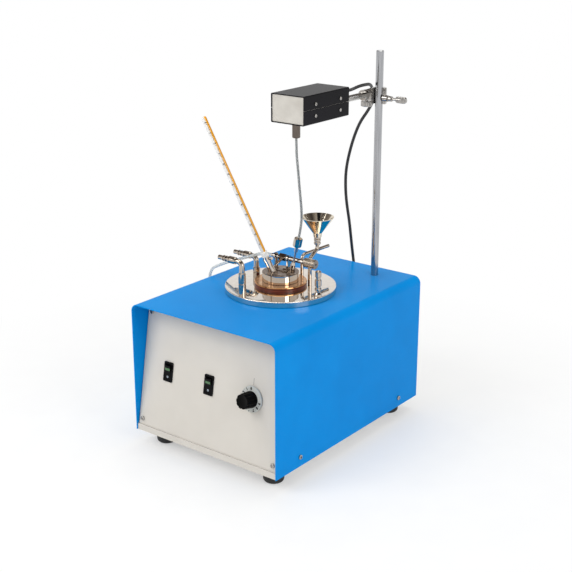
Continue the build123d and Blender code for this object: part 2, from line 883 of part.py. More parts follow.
def make_air_chamber():
    low = cover_top - chamber_depth
    chamber = post((0, 0), low, cover_top, chamber_radius)
    return chamber - post((0, 0), low + chamber_wall, cover_top + 1, chamber_radius - chamber_wall)


def make_heater():
    """Band heater clamped round the foot of the bath vessel, with its terminal block."""
    low = cover_top - vessel_depth + heater_rise
    high = low + heater_height
    inner = vessel_radius + seat_gap
    outer = inner + heater_thickness
    band = post((0, 0), low, high, outer) - post((0, 0), low - 1, high + 1, inner)
    band -= block(-2, 2, outer - 6, outer + 2, low - 1, high + 1)
    for side in (-1, 1):
        low_x, high_x = sorted((side * 2, side * 4))
        band += block(low_x, high_x, inner + 0.5, outer + 10, low + 4, high - 4)
    bolt = Pos(0, outer + 5.5, (low + high) / 2) * Rot(0, 90, 0)
    box_low = low + 8
    box = block(
        terminal_box_x,
        terminal_box_x + terminal_box[0],
        -outer - 8,
        -outer - 8 + terminal_box[1],
        box_low,
        box_low + terminal_box[2],
    )
    band += bolt * Cylinder(2.0, 16)
    return (band + box) - post((0, 0), low - 1, high + 1, inner)


def make_insulating_ring():
    spigot_radius_low = chamber_radius - chamber_wall - seat_gap
    bore = cup_radius + 3 * seat_gap
    low = plate_top - ring_spigot
    return turned(
        (0, 0),
        [
            (bore, low),
            (spigot_radius_low, low),
            (spigot_radius_low, plate_top),
            (ring_radius, plate_top),
            (ring_radius, ring_top - 0.8),
            (ring_radius - 0.8, ring_top),
            (bore, ring_top),
        ],
    )


keep("bath_plate", make_bath_plate())
keep("bath_vessel", make_vessel())
keep("air_chamber", make_air_chamber())
keep("band_heater", make_heater())
keep("insulating_ring", make_insulating_ring())


# ---- fittings on the bath plate ---------------------------------------------------------------
def make_coolant_pipe(at, rise):
    """Post in a grooved sleeve that turns to -X at its outlet."""
    axis_z = plate_top + rise
    low_z = cover_top - pipe_depth_below_plate
    points = [(*at, low_z), (*at, axis_z), (at[0] - tail_start, at[1], axis_z)]
    pipe = bent_tube(points, coolant_bend_radius, coolant_pipe_radius, coolant_bore_radius)
    top = axis_z - coolant_sleeve_drop
    groove = plate_top + (top - plate_top) * coolant_groove_share
    sleeve = turned(
        at,
        [
            (coolant_bore_radius, plate_top),
            (coolant_sleeve_radius, plate_top),
            (coolant_sleeve_radius, groove - 0.6),
            (coolant_groove_radius, groove),
            (coolant_sleeve_radius, groove + 0.6),
            (coolant_sleeve_radius, top - 0.8),
            (coolant_sleeve_radius - 0.8, top),
            (coolant_bore_radius, top),
        ],
    )
    return pipe + sleeve


def make_hose_tail(at, rise):
    """Coupling body and ringed hose tail along -X."""
    start = (at[0] - tail_start, at[1], plate_top + rise)
    heading = (-1, 0, 0)
    body_end = tail_body_length
    tip_end = body_end + tail_length
    tail = bar(start, heading, 0, 1.5, tail_body_radius - 0.9, tail_body_radius)
    tail += bar(start, heading, 1.5, body_end - 4.0, tail_body_radius)
    tail += bar(start, heading, body_end - 4.0, body_end - 2.8, tail_body_radius - 0.9)
    tail += bar(start, heading, body_end - 2.8, body_end, tail_body_radius, tail_body_radius - 0.6)
    tail += bar(start, heading, body_end, tip_end, tail_radius)
    ring_start = tip_end - tail_tip_length - 3.0
    for k in range(2):
        s = ring_start - 4.6 * k
        tail += bar(start, heading, s, s + 3.0, tail_ring_radius, tail_radius + 0.2)
    return tail - bar(start, heading, -1, tip_end + 1, coolant_bore_radius)


def make_vent_post():
    """Ringed, removable vent post."""
    z = plate_top
    r = vent_post_radius
    top = z + vent_post_height
    profile = [
        (0, z - vent_stem_length),
        (vent_stem_radius, z - vent_stem_length),
        (vent_stem_radius, z),
        (r + 2.0, z),
        (r + 1.2, z + 3.5),
        (r - 0.6, z + 6.0),
        (r - 0.6, z + 8.5),
        (r + 0.8, z + 9.5),
        (r + 0.8, z + 12.5),
        (r - 0.4, z + 13.5),
        (r - 0.4, z + 16.0),
        (r + 0.8, z + 17.0),
        (r + 0.8, z + 26.0),
        (r - 0.8, z + 27.0),
        (r - 0.8, z + 30.0),
        (r + 0.4, z + 31.0),
        (r + 0.4, top - 1.2),
        (r - 0.8, top),
        (0, top),
    ]
    return turned(vent_post, profile)


def make_filler_pipe():
    """Filler pipe with a double bend and the funnel's socket."""
    points = [
        (*filler_foot, cover_top - pipe_depth_below_plate),
        (*filler_foot, plate_top + filler_rise),
        (*filler_head, plate_top + filler_socket_low - 7.0),
        (*filler_head, plate_top + filler_socket_low + 2.0),
    ]
    pipe = bent_tube(points, filler_bend_radius - 1.5, filler_pipe_radius, filler_bore_radius)
    low = plate_top + filler_socket_low
    high = plate_top + filler_socket_high
    r = filler_socket_radius
    bore = funnel_stem_radius + running_gap
    socket = turned(
        filler_head,
        [
            (filler_bore_radius, low),
            (r - 1.2, low),
            (r, low + 1.2),
            (r, low + 4.0),
            (r - 0.7, low + 4.6),
            (r - 0.7, low + 5.8),
            (r, low + 6.4),
            (r, low + 9.0),
            (r - 0.7, low + 9.6),
            (r, low + 10.2),
            (r, high),
            (bore, high),
            (bore, low + 2.2),
            (filler_bore_radius, low + 2.2),
        ],
    )
    return pipe + socket


def make_funnel():
    stem_low = plate_top + filler_socket_low + 2.6
    seat = plate_top + filler_socket_high
    neck_top = seat + funnel_neck_height
    mouth = neck_top + funnel_cone_height
    inner_neck = funnel_neck_high_radius - 2.0
    return turned(
        filler_head,
        [
            (funnel_bore_radius, stem_low),
            (funnel_stem_radius, stem_low),
            (funnel_stem_radius, seat),
            (funnel_neck_low_radius, seat),
            (funnel_neck_high_radius, neck_top),
            (funnel_mouth_radius, mouth - 0.6),
            (funnel_mouth_radius, mouth),
            (funnel_mouth_radius - funnel_wall, mouth),
            (inner_neck, neck_top + 0.6),
            (funnel_bore_radius, seat + 1.0),
        ],
    )


def make_overflow_pipe():
    z = plate_top + overflow_rise
    points = [
        (*overflow_foot, cover_top - pipe_depth_below_plate),
        (*overflow_foot, z),
        (*overflow_end, z),
    ]
    return bent_tube(points, overflow_bend_radius, overflow_radius, overflow_bore_radius)


coolant_posts = ((front_coolant, front_coolant_rise), (rear_coolant, rear_coolant_rise))
keep("coolant_pipes", group(*[make_coolant_pipe(at, rise) for at, rise in coolant_posts]))
keep("hose_tails", group(*[make_hose_tail(at, rise) for at, rise in coolant_posts]))
keep("vent_post", make_vent_post())
keep("filler_pipe", make_filler_pipe())
keep("funnel", make_funnel())
keep("overflow_pipe", make_overflow_pipe())


# ---- oil cup ----------------------------------------------------------------------------------
def make_oil_cup():
    inner_low = cup_rim - cup_depth
    cup = turned(
        (0, 0),
        [
            (0, inner_low - cup_base),
            (cup_radius - 1.0, inner_low - cup_base),
            (cup_radius, inner_low - cup_base + 1.0),
            (cup_radius, ring_top),
            (cup_flange_radius - 0.6, ring_top),
            (cup_flange_radius, ring_top + 0.6),
            (cup_flange_radius, flange_top - 0.6),
            (cup_flange_radius - 0.6, flange_top),
            (cup_radius, flange_top),
            (cup_radius, cup_rim),
            (cup_bore_radius, cup_rim),
            (cup_bore_radius, inner_low),
            (0, inner_low),
        ],
    )
    # oil level pin on the wall, with its upturned point
    turn = radians(gauge_angle)
    heading = (-cos(turn), -sin(turn), 0)
    wall = (cup_bore_radius * cos(turn), cup_bore_radius * sin(turn), cup_rim - gauge_depth)
    cup += bar(wall, heading, -0.6, 6.0, 0.9)
    tip = along(wall, heading, 5.2)
    return cup + bar(tip, (0, 0, 1), -0.4, 4.0, 0.9, 0.2)


keep("oil_cup", make_oil_cup())


# ---- lid and what stands on it ----------------------------------------------------------------
lid_underside = cup_rim
shutter_low_z = lid_z + 0.05
shutter_high_z = shutter_low_z + shutter_thickness
lip_low_z = shutter_high_z + 0.2
lip_high_z = lip_low_z + 1.0


def keep_above(shape, z):
    """Cuts away what lies below z."""
    return shape - block(-80, 80, -80, 80, z - 80, z)


def make_lid():
    skirt_low = flange_top + lid_skirt_gap
    lid = turned(
        (0, 0),
        [
            (0, lid_underside),
            (cup_radius + seat_gap, lid_underside),
            (cup_radius + seat_gap, skirt_low),
            (lid_radius, skirt_low),
            (lid_radius, lid_z - 0.7),
            (lid_radius - 0.7, lid_z),
            (0, lid_z),
        ],
    )
    window_low = shutter_low_y + shutter_margin
    window_high = shutter_high_y - shutter_margin
    lid -= block(
        aperture_low_x, aperture_high_x, window_low, window_high, lid_underside - 1, lid_z + 1
    )
    lid -= bar(therm_foot, therm_axis, -12, 12, socket_radius + running_gap)
    lid -= bar(stir_foot, stir_axis, -12, 12, bush_radius + running_gap)
    # rails that hold the shutter down
    front_edge = shutter_low_y - sheet_gap
    rear_edge = shutter_high_y + sheet_gap
    for edge, away, spans in ((front_edge, -1, front_rails), (rear_edge, 1, rear_rails)):
        for x0, x1 in spans:
            y0, y1 = sorted((edge, edge + away * rail_width))
            lid += block(x0, x1, y0, y1, lid_z - 0.5, lip_high_z)
            y0, y1 = sorted((edge - away * rail_lip, edge + away * rail_width))
            lid += block(x0, x1, y0, y1, lip_low_z, lip_high_z)
    return lid


def make_shutter():
    plate = block(
        shutter_low_x, shutter_high_x, shutter_low_y, shutter_high_y, shutter_low_z, shutter_high_z
    )
    window_x0 = aperture_low_x + shutter_travel - shutter_lead
    window_x1 = min(aperture_high_x + shutter_travel, shutter_high_x - 1.0)
    plate -= block(
        window_x0,
        window_x1,
        shutter_low_y + shutter_margin,
        shutter_high_y - shutter_margin,
        shutter_low_z - 1,
        shutter_high_z + 1,
    )
    mid_y = (shutter_low_y + shutter_high_y) / 2
    tab = block(
        shutter_low_x, shutter_low_x + 1.5, mid_y - 2, mid_y + 2, shutter_high_z - 0.2, lip_high_z + 3.5
    )
    return plate + fillet(tab.edges().filter_by(Axis.X), 0.8)


def make_trunnion_posts():
    """Two uprights that carry the test jet's cross tube."""
    solids = []
    for x in (left_post_x, right_post_x):
        x0, x1 = x - post_thickness / 2, x + post_thickness / 2
        upright = block(x0, x1, post_low_y, post_high_y, lid_z, jet_axis_z)
        lug = Pos(x, jet_axis_y, jet_axis_z) * Rot(0, 90, 0) * Cylinder(post_lug_radius, post_thickness)
        bore = Pos(x, jet_axis_y, jet_axis_z) * Rot(0, 90, 0) * Cylinder(
            jet_tube_radius + running_gap, post_thickness + 2
        )
        solids.append(upright + lug - bore)
    return group(*solids)


def make_test_jet():
    """Cross tube, block and dipping nozzle of the test flame."""
    axis_point = (0, jet_axis_y, jet_axis_z)
    along_x = (1, 0, 0)
    jet = bar(axis_point, along_x, jet_left_end, jet_sleeve_start, jet_tube_radius)
    jet += bar(axis_point, along_x, jet_sleeve_start, jet_right_end, jet_sleeve_radius)
    for s in (jet_sleeve_start + 2.0, jet_right_end - 4.0):
        jet += bar(axis_point, along_x, s, s + 2.0, jet_sleeve_radius + 0.7)
    dip = radians(jet_rest_dip)
    nozzle_foot = (jet_x, jet_axis_y, jet_axis_z)
    heading = (0, -cos(dip), -sin(dip))
    holder = Pos(*nozzle_foot) * Rot(jet_rest_dip, 0, 0) * Box(13, 9.0, 8.0)
    jet += fillet(holder.edges().filter_by(Axis.X), 1.0)
    jet += bar(nozzle_foot, heading, 0, jet_length * 0.62, 2.1)
    jet += bar(nozzle_foot, heading, jet_length * 0.62, jet_length, 1.9, 0.9)
    bore = valve_stem_radius + running_gap
    jet -= bar(axis_point, along_x, jet_right_end - 8, jet_right_end + 1, bore)
    return jet - bar(nozzle_foot, heading, 4.5, jet_length + 1, 0.45)


def make_gas_valve():
    """Fluted needle valve knob on the end of the cross tube."""
    axis_point = (jet_right_end + seat_gap, jet_axis_y, jet_axis_z)
    along_x = (1, 0, 0)
    knob = bar(axis_point, along_x, 0, valve_length, valve_radius)
    knob = chamfer(knob.edges().filter_by(GeomType.CIRCLE), 0.8)
    for k in range(valve_flutes):
        turn = 2 * pi * k / valve_flutes
        foot_y = jet_axis_y + valve_radius * cos(turn)
        foot_z = jet_axis_z + valve_radius * sin(turn)
        foot = (axis_point[0], foot_y, foot_z)
        knob -= bar(foot, along_x, 3.0, valve_length - 3.0, 0.45)
    knob -= bar(axis_point, along_x, valve_length - 3.0, valve_length + 1, 1.6)
    return knob + bar(axis_point, along_x, -seat_gap - 7.0, 0.5, valve_stem_radius)


def make_thermometer_socket():
    """Split socket for the thermometer, with its clamp screw."""
    socket = bar(therm_foot, therm_axis, -8, socket_length, socket_radius)
    socket += bar(therm_foot, therm_axis, socket_length - 7, socket_length - 2.5, socket_radius + 0.8)
    base = keep_above(bar(therm_foot, therm_axis, -4, 3.0, socket_radius + 0.6), lid_z)
    socket = keep_above(socket, lid_underside - 0.5) + base
    socket -= bar(therm_foot, therm_axis, -12, socket_length + 1, thermometer_radius + seat_gap)
    # the screw points to +X, square to the thermometer
    square = Vector(1, 0, 0) - Vector(*therm_axis) * therm_axis[0]
    heading = tuple(square.normalized())
    foot = along(therm_foot, therm_axis, clamp_screw_height)
    slit_foot = Vector(*along(therm_foot, therm_axis, socket_length))
    slit_frame = Plane(origin=slit_foot, z_dir=Vector(*therm_axis), x_dir=Vector(*heading))
    slit = slit_frame * Pos(-socket_radius, 0, -socket_split_depth / 2) * Box(
        2 * socket_radius, socket_split, socket_split_depth + 0.02
    )
    socket -= slit
    socket -= bar(foot, heading, 0, socket_radius + 3, 1.25)
    screw = bar(foot, heading, thermometer_radius + seat_gap + 0.1, socket_radius + 3.0, 1.2)
    screw += bar(foot, heading, socket_radius + 2.2, socket_radius + 6.2, 2.5)
    return group(socket, screw)


def make_thermometer_collar():
    collar = bar(therm_foot, therm_axis, socket_length, socket_length + collar_length, collar_radius)
    collar = fillet(collar.edges().filter_by(GeomType.CIRCLE), 0.9)
    bore_high = socket_length + collar_length + 1
    return collar - bar(therm_foot, therm_axis, socket_length - 1, bore_high, thermometer_radius)


def make_thermometer():
    stem_low = bulb_length - thermometer_below
    glass_low = socket_length + collar_length + thermometer_neck
    stem = bar(therm_foot, therm_axis, stem_low, glass_low + 5, thermometer_radius)
    stem = fillet(stem.edges().filter_by(GeomType.CIRCLE).sort_by(Axis.Z)[0], 0.6)
    glass = bar(therm_foot, therm_axis, glass_low, thermometer_above, thermometer_glass_radius)
    glass = fillet(glass.edges().filter_by(GeomType.CIRCLE).sort_by(Axis.Z)[-1], 2.6)
    glass = fillet(glass.edges().filter_by(GeomType.CIRCLE).sort_by(Axis.Z)[0], 0.6)
    bulb = bar(therm_foot, therm_axis, -thermometer_below, stem_low + 2, bulb_radius)
    bulb = fillet(bulb.edges().filter_by(GeomType.CIRCLE).sort_by(Axis.Z)[0], 2.2)
    return stem + glass + bulb


def make_stirrer_bush():
    bush = bar(stir_foot, stir_axis, -8, bush_length - 5, bush_radius)
    bush += bar(stir_foot, stir_axis, bush_length - 5, bush_length, bush_radius, bush_radius - 1.3)
    bush = keep_above(bush, lid_underside - 0.4)
    foot_ring = keep_above(bar(stir_foot, stir_axis, -4, 2.5, bush_radius + 1.2), lid_z)
    bore_radius = spindle_radius + running_gap
    return bush + foot_ring - bar(stir_foot, stir_axis, -12, bush_length + 1, bore_radius)


def make_stirrer_spindle():
    """Spindle with its four pitched blades."""
    nut_low = nut_top - nut_length
    spindle = bar(stir_foot, stir_axis, -spindle_below, nut_low + 4.0, spindle_radius)
    spindle += bar(stir_foot, stir_axis, nut_low - sleeve_length, nut_low, sleeve_radius)
    hub_low = -spindle_below - 1.0
    spindle += bar(stir_foot, stir_axis, hub_low, hub_low + blade_height + 2, 2.8)
    frame = Plane(
        origin=Vector(*along(stir_foot, stir_axis, hub_low + 1 + blade_height / 2)),
        z_dir=Vector(*stir_axis),
        x_dir=Vector(0, 1, 0),
    )
    for k in range(blades):
        blade = Pos(blade_radius / 2, 0, 0) * Rot(blade_pitch, 0, 0) * Box(
            blade_radius, blade_thickness, blade_height
        )
        spindle += frame * Rot(0, 0, 360 * k / blades) * blade
    return spindle


def make_coupling_nut():
    frame = Plane(
        origin=Vector(*along(stir_foot, stir_axis, nut_top - nut_length)),
        z_dir=Vector(*stir_axis),
        x_dir=Vector(0, 1, 0),
    )
    across_corners = nut_across_flats / cos(radians(30)) / 2
    nut = extrude(frame * RegularPolygon(across_corners, 6), nut_length)
    low = (Align.CENTER, Align.CENTER, Align.MIN)
    rounding = Cylinder(across_corners - 0.15, nut_length, align=low)
    rounding = chamfer(rounding.edges().filter_by(GeomType.CIRCLE), 0.9)
    nut = nut & (frame * rounding)
    nut_low = nut_top - nut_length
    return nut - bar(stir_foot, stir_axis, nut_low - 1, nut_low + 4.1, spindle_radius)


keep("cup_lid", make_lid())
keep("shutter", make_shutter())
keep("trunnion_posts", make_trunnion_posts())
keep("test_jet", make_test_jet())
keep("gas_valve_knob", make_gas_valve())
keep("thermometer_socket", make_thermometer_socket())
keep("thermometer_collar", make_thermometer_collar())
keep("thermometer", make_thermometer())
keep("stirrer_bush", make_stirrer_bush())
keep("stirrer_spindle", make_stirrer_spindle())
keep("coupling_nut", make_coupling_nut())


# ---- stand ------------------------------------------------------------------------------------
def make_rod():
    rod = post(rod_at, rod_low_z, rod_low_z + rod_length, rod_radius)
    return chamfer(rod.edges().filter_by(GeomType.CIRCLE), 0.8)


def make_rod_socket():
    """Post from the tray to the underside of the cover that the rod stands in."""
    socket = post(rod_at, tray_floor, cover_top - sheet, post_radius)
    socket += post(rod_at, tray_floor, tray_floor + 3, post_radius + 5)
    return socket - post(rod_at, rod_low_z, cover_top, rod_radius + running_gap)


def make_boss_head():
    """Boss head: a jaw open to the front for the rod, and a bore square to it for the arm."""
    arm_point = (arm_x, 0, arm_z)
    rod_bore = rod_radius + running_gap
    boss = post(rod_at, boss_low_z, boss_high_z, boss_radius)
    boss = fillet(boss.edges().filter_by(GeomType.CIRCLE), 1.5)
    web_y = (rod_at[1] - boss_web / 2, rod_at[1] + boss_web / 2)
    boss += block(arm_x, rod_at[0], web_y[0], web_y[1], boss_web_low, boss_web_high)
    boss += bar(arm_point, (0, 1, 0), boss_front_y, boss_rear_y, boss_arm_radius)
    boss -= block(
        rod_at[0] - rod_bore,
        rod_at[0] + boss_radius + 1,
        rod_at[1] - boss_radius - 1,
        rod_at[1],
        boss_low_z - 1,
        boss_high_z + 1,
    )
    lever_point = (0, rod_at[1], lever_z)
    boss += bar(lever_point, (1, 0, 0), rod_at[0] + lever_boss_start, lever_boss_x, clamp_boss_radius)
    knob_at = (arm_x, rod_at[1])
    boss += post(knob_at, arm_knob_high + knob_gap, arm_z, clamp_boss_radius)
    boss -= post(rod_at, boss_low_z - 1, boss_high_z + 1, rod_bore)
    boss -= bar(arm_point, (0, 1, 0), boss_front_y - 1, boss_rear_y + 1, arm_radius + running_gap)
    boss -= bar(lever_point, (1, 0, 0), rod_at[0], lever_boss_x + 1, clamp_stem_radius + running_gap)
    return boss - post(knob_at, arm_knob_high, arm_z, clamp_stem_radius + running_gap)


def make_rod_clamp_screw():
    """Screw with a flattened lever, along +X."""
    foot = (0, rod_at[1], lever_z)
    tip = rod_at[0] + rod_radius + clamp_tip_gap
    collar = lever_boss_x + 2.0
    paddle_x = lever_end_x - lever_length / 2
    screw = bar(foot, (1, 0, 0), tip, collar + 1, clamp_stem_radius)
    screw += bar(foot, (1, 0, 0), collar, lever_collar_x, lever_collar_radius)
    screw += bar(foot, (1, 0, 0), lever_collar_x - 1, paddle_x, lever_neck_radius)
    paddle = Pos(paddle_x, rod_at[1], lever_z) * Box(lever_length, lever_thickness, lever_height)
    paddle = fillet(paddle.edges().filter_by(Axis.Y), lever_height / 2 - 0.4)
    return screw + fillet(paddle.edges().group_by(Axis.Y)[0], 0.8)


def make_arm_clamp_screw():
    """Knurled screw under the arm's bore."""
    knob_at = (arm_x, rod_at[1])
    tip = arm_z - arm_radius - clamp_tip_gap
    knob = post(knob_at, arm_knob_low, arm_knob_high, arm_knob_radius)
    knob = chamfer(knob.edges().filter_by(GeomType.CIRCLE), 1.0)
    for k in range(16):
        turn = 2 * pi * k / 16
        groove = (knob_at[0] + arm_knob_radius * cos(turn), knob_at[1] + arm_knob_radius * sin(turn))
        knob -= post(groove, arm_knob_low - 1, arm_knob_high + 1, 0.7)
    return knob + post(knob_at, arm_knob_high - 1, tip, clamp_stem_radius)


case_rear_y = case_centre[1] + case_depth / 2
case_front_y = case_centre[1] - case_depth / 2
end_plate_out_y = case_rear_y - end_plate_recess


def make_arm():
    point = (arm_x, 0, arm_z)
    arm = bar(point, (0, 1, 0), arm_front_y, arm_rear_y, arm_radius)
    arm = chamfer(arm.edges().filter_by(GeomType.CIRCLE), 0.7)
    flange_y = end_plate_out_y + arm_flange_length
    arm += bar(point, (0, 1, 0), end_plate_out_y, flange_y, arm_flange_radius)
    nut_y = end_plate_out_y - end_plate
    return arm + bar(point, (0, 1, 0), nut_y - 4.0, nut_y, arm_flange_radius)


keep("stand_rod", make_rod())
keep("rod_socket", make_rod_socket())
keep("boss_head", make_boss_head())
keep("rod_clamp_screw", make_rod_clamp_screw())
keep("arm_clamp_screw", make_arm_clamp_screw())
keep("support_arm", make_arm())


# ---- stirrer head -----------------------------------------------------------------------------
def case_screw_places():
    places = []
    for side in (-1, 1):
        x = case_centre[0] + side * case_width / 2
        for y in case_screw_ys:
            for rise in (case_screw_rise_low, case_screw_rise_high):
                origin = (x, y, case_low_z + rise)
                places.append(Plane(origin=origin, x_dir=(0, 1, 0), z_dir=(side, 0, 0)) * Pos(0, 0))
    return places


case_screws = case_screw_places()


def make_case_half(upper):
    """Folded U-shaped shell, open at both ends."""
    half = case_width / 2
    x0, x1 = case_centre[0] - half, case_centre[0] + half
    if upper:
        z0, z1 = seam_z + case_seam / 2, case_top_z
    else:
        z0, z1 = case_low_z, seam_z - case_seam / 2
    shell = block(x0, x1, case_front_y, case_rear_y, z0, z1)
    folds = shell.edges().filter_by(Axis.Y).group_by(Axis.Z)[-1 if upper else 0]
    shell = fillet(folds, case_bend_radius)
    inner_z = (z0 - 1, z1 - case_sheet) if upper else (z0 + case_sheet, z1 + 1)
    shell -= block(
        x0 + case_sheet, x1 - case_sheet, case_front_y - 1, case_rear_y + 1, inner_z[0], inner_z[1]
    )
    if not upper:
        shell -= post(drive_at, case_low_z - 1, case_low_z + 4, spigot_radius + 0.1)
    for place in case_screws:
        shell -= drill(place, case_screw_radius + 0.2, 3)
    return shell


def make_inner_frame():
    """Two end plates joined by side rails; the shells screw to the rails."""
    half = case_width / 2 - case_sheet - 0.1
    x0, x1 = case_centre[0] - half, case_centre[0] + half
    z0, z1 = case_low_z + case_sheet + 0.1, case_top_z - case_sheet - 0.1
    front, rear = case_front_y + end_plate_recess, case_rear_y - end_plate_recess
    frame = block(x0, x1, front, front + end_plate, z0, z1)
    frame += block(x0, x1, rear - end_plate, rear, z0, z1)
    for low_x, high_x in ((x0, x0 + end_plate), (x1 - end_plate, x1)):
        frame += block(low_x, high_x, front, rear, z0 + rail_margin, z1 - rail_margin)
    frame -= bar((arm_x, rear, arm_z), (0, 1, 0), -4, 4, arm_radius + 0.1)
    thread_radius = head_gland_radius - gland_thread_step
    frame -= bar((head_gland_x, rear, head_gland_z), (0, 1, 0), -4, 4, thread_radius + 0.1)
    for place in case_screws:
        frame -= drill(place, case_screw_radius + 0.1, 6)
    return frame


def make_motor():
    """Gear motor can with the spigot that guides the drive shaft."""
    low = case_low_z + case_sheet
    high = low + motor_height
    can = post(drive_at, low, high, motor_radius)
    can = fillet(can.edges().filter_by(GeomType.CIRCLE), 1.0)
    can += post(drive_at, high - 0.5, high + 2.5, 5.0)
    spigot_low = case_low_z - spigot_length
    spigot = post(drive_at, spigot_low, low + 0.5, spigot_radius)
    can += chamfer(spigot.edges().filter_by(GeomType.CIRCLE).sort_by(Axis.Z)[0], 0.8)
    can -= post(drive_at, low + motor_wall + 2, high - motor_wall, motor_radius - motor_wall)
    can -= post(drive_at, spigot_low - 1, high - motor_wall + 2, rotor_shaft_radius + running_gap)
    return can - post(drive_at, spigot_low - 1, spigot_low + spigot_bore_depth, spigot_bore_radius)


def make_rotor():
    low = case_low_z + case_sheet + motor_wall + 2
    high = case_low_z + case_sheet + motor_height - motor_wall
    rotor = post(drive_at, low + 2.5, high - 2.5, rotor_radius)
    shaft_low = case_low_z - spigot_length + spigot_bore_depth + 0.2
    return rotor + post(drive_at, shaft_low, high + 1.5, rotor_shaft_radius)


keep("head_case_upper", make_case_half(True))
keep("head_case_lower", make_case_half(False))
keep("head_inner_frame", make_inner_frame())
keep(
    "head_case_screws",
    group(
        *[
            pan_screw(
                place,
                case_screw_head_radius,
                case_screw_head_height,
                case_screw_radius,
                case_screw_length,
            )
            for place in case_screws
        ]
    ),
)
keep("stirrer_motor", make_motor())
keep("motor_rotor", make_rotor())
keep(
    "head_gland",
    make_gland(
        (head_gland_x, end_plate_out_y, head_gland_z),
        head_gland_radius,
        head_gland_length,
        head_gland_grip,
    ),
)

# ---- flexible drive shaft ---------------------------------------------------------------------
nut_face = along(stir_foot, stir_axis, nut_top)
flex_top_z = case_low_z - spigot_length + spigot_bore_depth - 0.1
flex_points = [
    (*drive_at, flex_top_z),
    (*drive_at, 466.0),
    (50.8, -23.0, 440.0),
    (47.0, -13.5, 404.0),
    (42.6, -2.5, 370.0),
    along(nut_face, stir_axis, 22.0),
    along(nut_face, stir_axis, seat_gap),
]
keep("flex_shaft", cord("flex_shaft", flex_points, flex_radius))

# ---- motor cable: three stretches, head to boss, boss to rod, rod to rear gland ---------------
cable_boss_point = (50.5, 141.0, 541.5)
cable_rod_point = (-10.5, 188.5, 372.0)
cable_upper_points = [
    (head_gland_x, end_plate_out_y + head_gland_length, head_gland_z),
    (60.0, 90.0, 541.0),
    (54.0, 111.0, 540.0),
    (51.0, 131.0, 541.5),
    cable_boss_point,
]
cable_middle_points = [
    cable_boss_point,
    (50.0, 151.0, 541.5),
    (49.0, 168.0, 540.0),
    (46.0, 184.0, 529.5),
    (40.0, 191.0, 511.5),
    (30.5, 190.0, 493.5),
    (17.0, 186.0, 473.0),
    (5.0, 185.0, 443.0),
    (-4.5, 186.0, 411.5),
    (-10.5, 188.5, 386.0),
    cable_rod_point,
]
cable_lower_points = [
    cable_rod_point,
    (-10.5, 188.5, 358.0),
    (-8.5, 190.0, 332.0),
    (-4.5, 193.0, 302.0),
    (-2.0, 196.0, 268.0),
    (0.0, 200.0, 236.0),
    (-1.0, 208.0, 206.0),
    (-2.0, 219.0, 177.0),
    (-2.0, 225.0, 150.0),
    (-2.0, 222.0, 124.0),
    (rear_gland_x, 206.0, rear_gland_z),
    (rear_gland_x, rear_panel_y + gland_length, rear_gland_z),
]
keep("motor_cable_upper", cord("motor_cable_upper", cable_upper_points, cable_radius))
keep("motor_cable_middle", cord("motor_cable_middle", cable_middle_points, cable_radius))
keep("motor_cable_lower", cord("motor_cable_lower", cable_lower_points, cable_radius))

# ---- gas tube: a stretch on the lid, a stretch down the housing and a coil --------------------
gas_joint_point = (-71.0, -12.9, 274.4)
gas_joint_before = (-64.0, -13.0, 277.3)
gas_joint_after = tuple(2.07 * b - 1.07 * a for a, b in zip(gas_joint_before, gas_joint_point))
gas_coil_entry = (
    gas_coil_at[0] + gas_coil_mid_radius + gas_tube_radius,
    gas_coil_at[1] - gas_coil_stub,
    gas_tube_radius,
)
gas_inner_points = [
    (jet_left_end, jet_axis_y, jet_axis_z),
    (jet_left_end - 9.0, jet_axis_y, jet_axis_z),
    (-44.5, 4.0, 284.0),
    (-52.0, -8.5, 281.5),
    gas_joint_before,
    gas_joint_point,
]
gas_outer_points = [
    gas_joint_point,
    gas_joint_after,
    (-101.0, -11.0, 262.5),
    (-121.0, -8.0, 252.5),
    (-139.5, -4.0, 243.0),
    (-151.5, 2.0, 224.0),
    (-154.0, 9.0, 196.0),
    (-153.0, 15.0, 160.0),
    (-154.5, 19.0, 118.0),
    (-153.0, 24.0, 76.0),
    (-154.0, 29.0, 42.0),
    (-157.0, 35.0, 18.0),
    (-156.5, 46.0, 4.6),
    (gas_coil_entry[0], gas_coil_entry[1] - 15.0, gas_coil_entry[2]),
    gas_coil_entry,
]
keep("gas_tube_inner", cord("gas_tube_inner", gas_inner_points, gas_tube_radius))
keep("gas_tube_outer", cord("gas_tube_outer", gas_outer_points, gas_tube_radius))


def make_gas_coil():
    """Outer shape of the coiled tube, with the stub where the tube runs in."""
    inner = gas_coil_mid_radius - 2 * gas_tube_radius
    outer = gas_coil_mid_radius + 2 * gas_tube_radius
    height = gas_tube_radius * (2 + sqrt(3))
    coil = post(gas_coil_at, 0, height, outer) - post(gas_coil_at, -1, height + 1, inner)
    stub = bar(gas_coil_entry, (0, 1, 0), 0, gas_coil_stub, gas_tube_radius - 0.05)
    length = gas_coil_turns * 2 * pi * gas_coil_mid_radius
    print("gas_tube_coil holds", round(length, 1))
    return coil + stub


keep("gas_tube_coil", make_gas_coil())

# ---- write the parts --------------------------------------------------------------------------
os.makedirs("parts", exist_ok=True)
for name, shape in parts.items():
    export_step(shape, f"parts/{name}.step")
print(len(parts), "nodes")
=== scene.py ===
import bmesh
import bpy
import math
from mathutils import Matrix, Vector


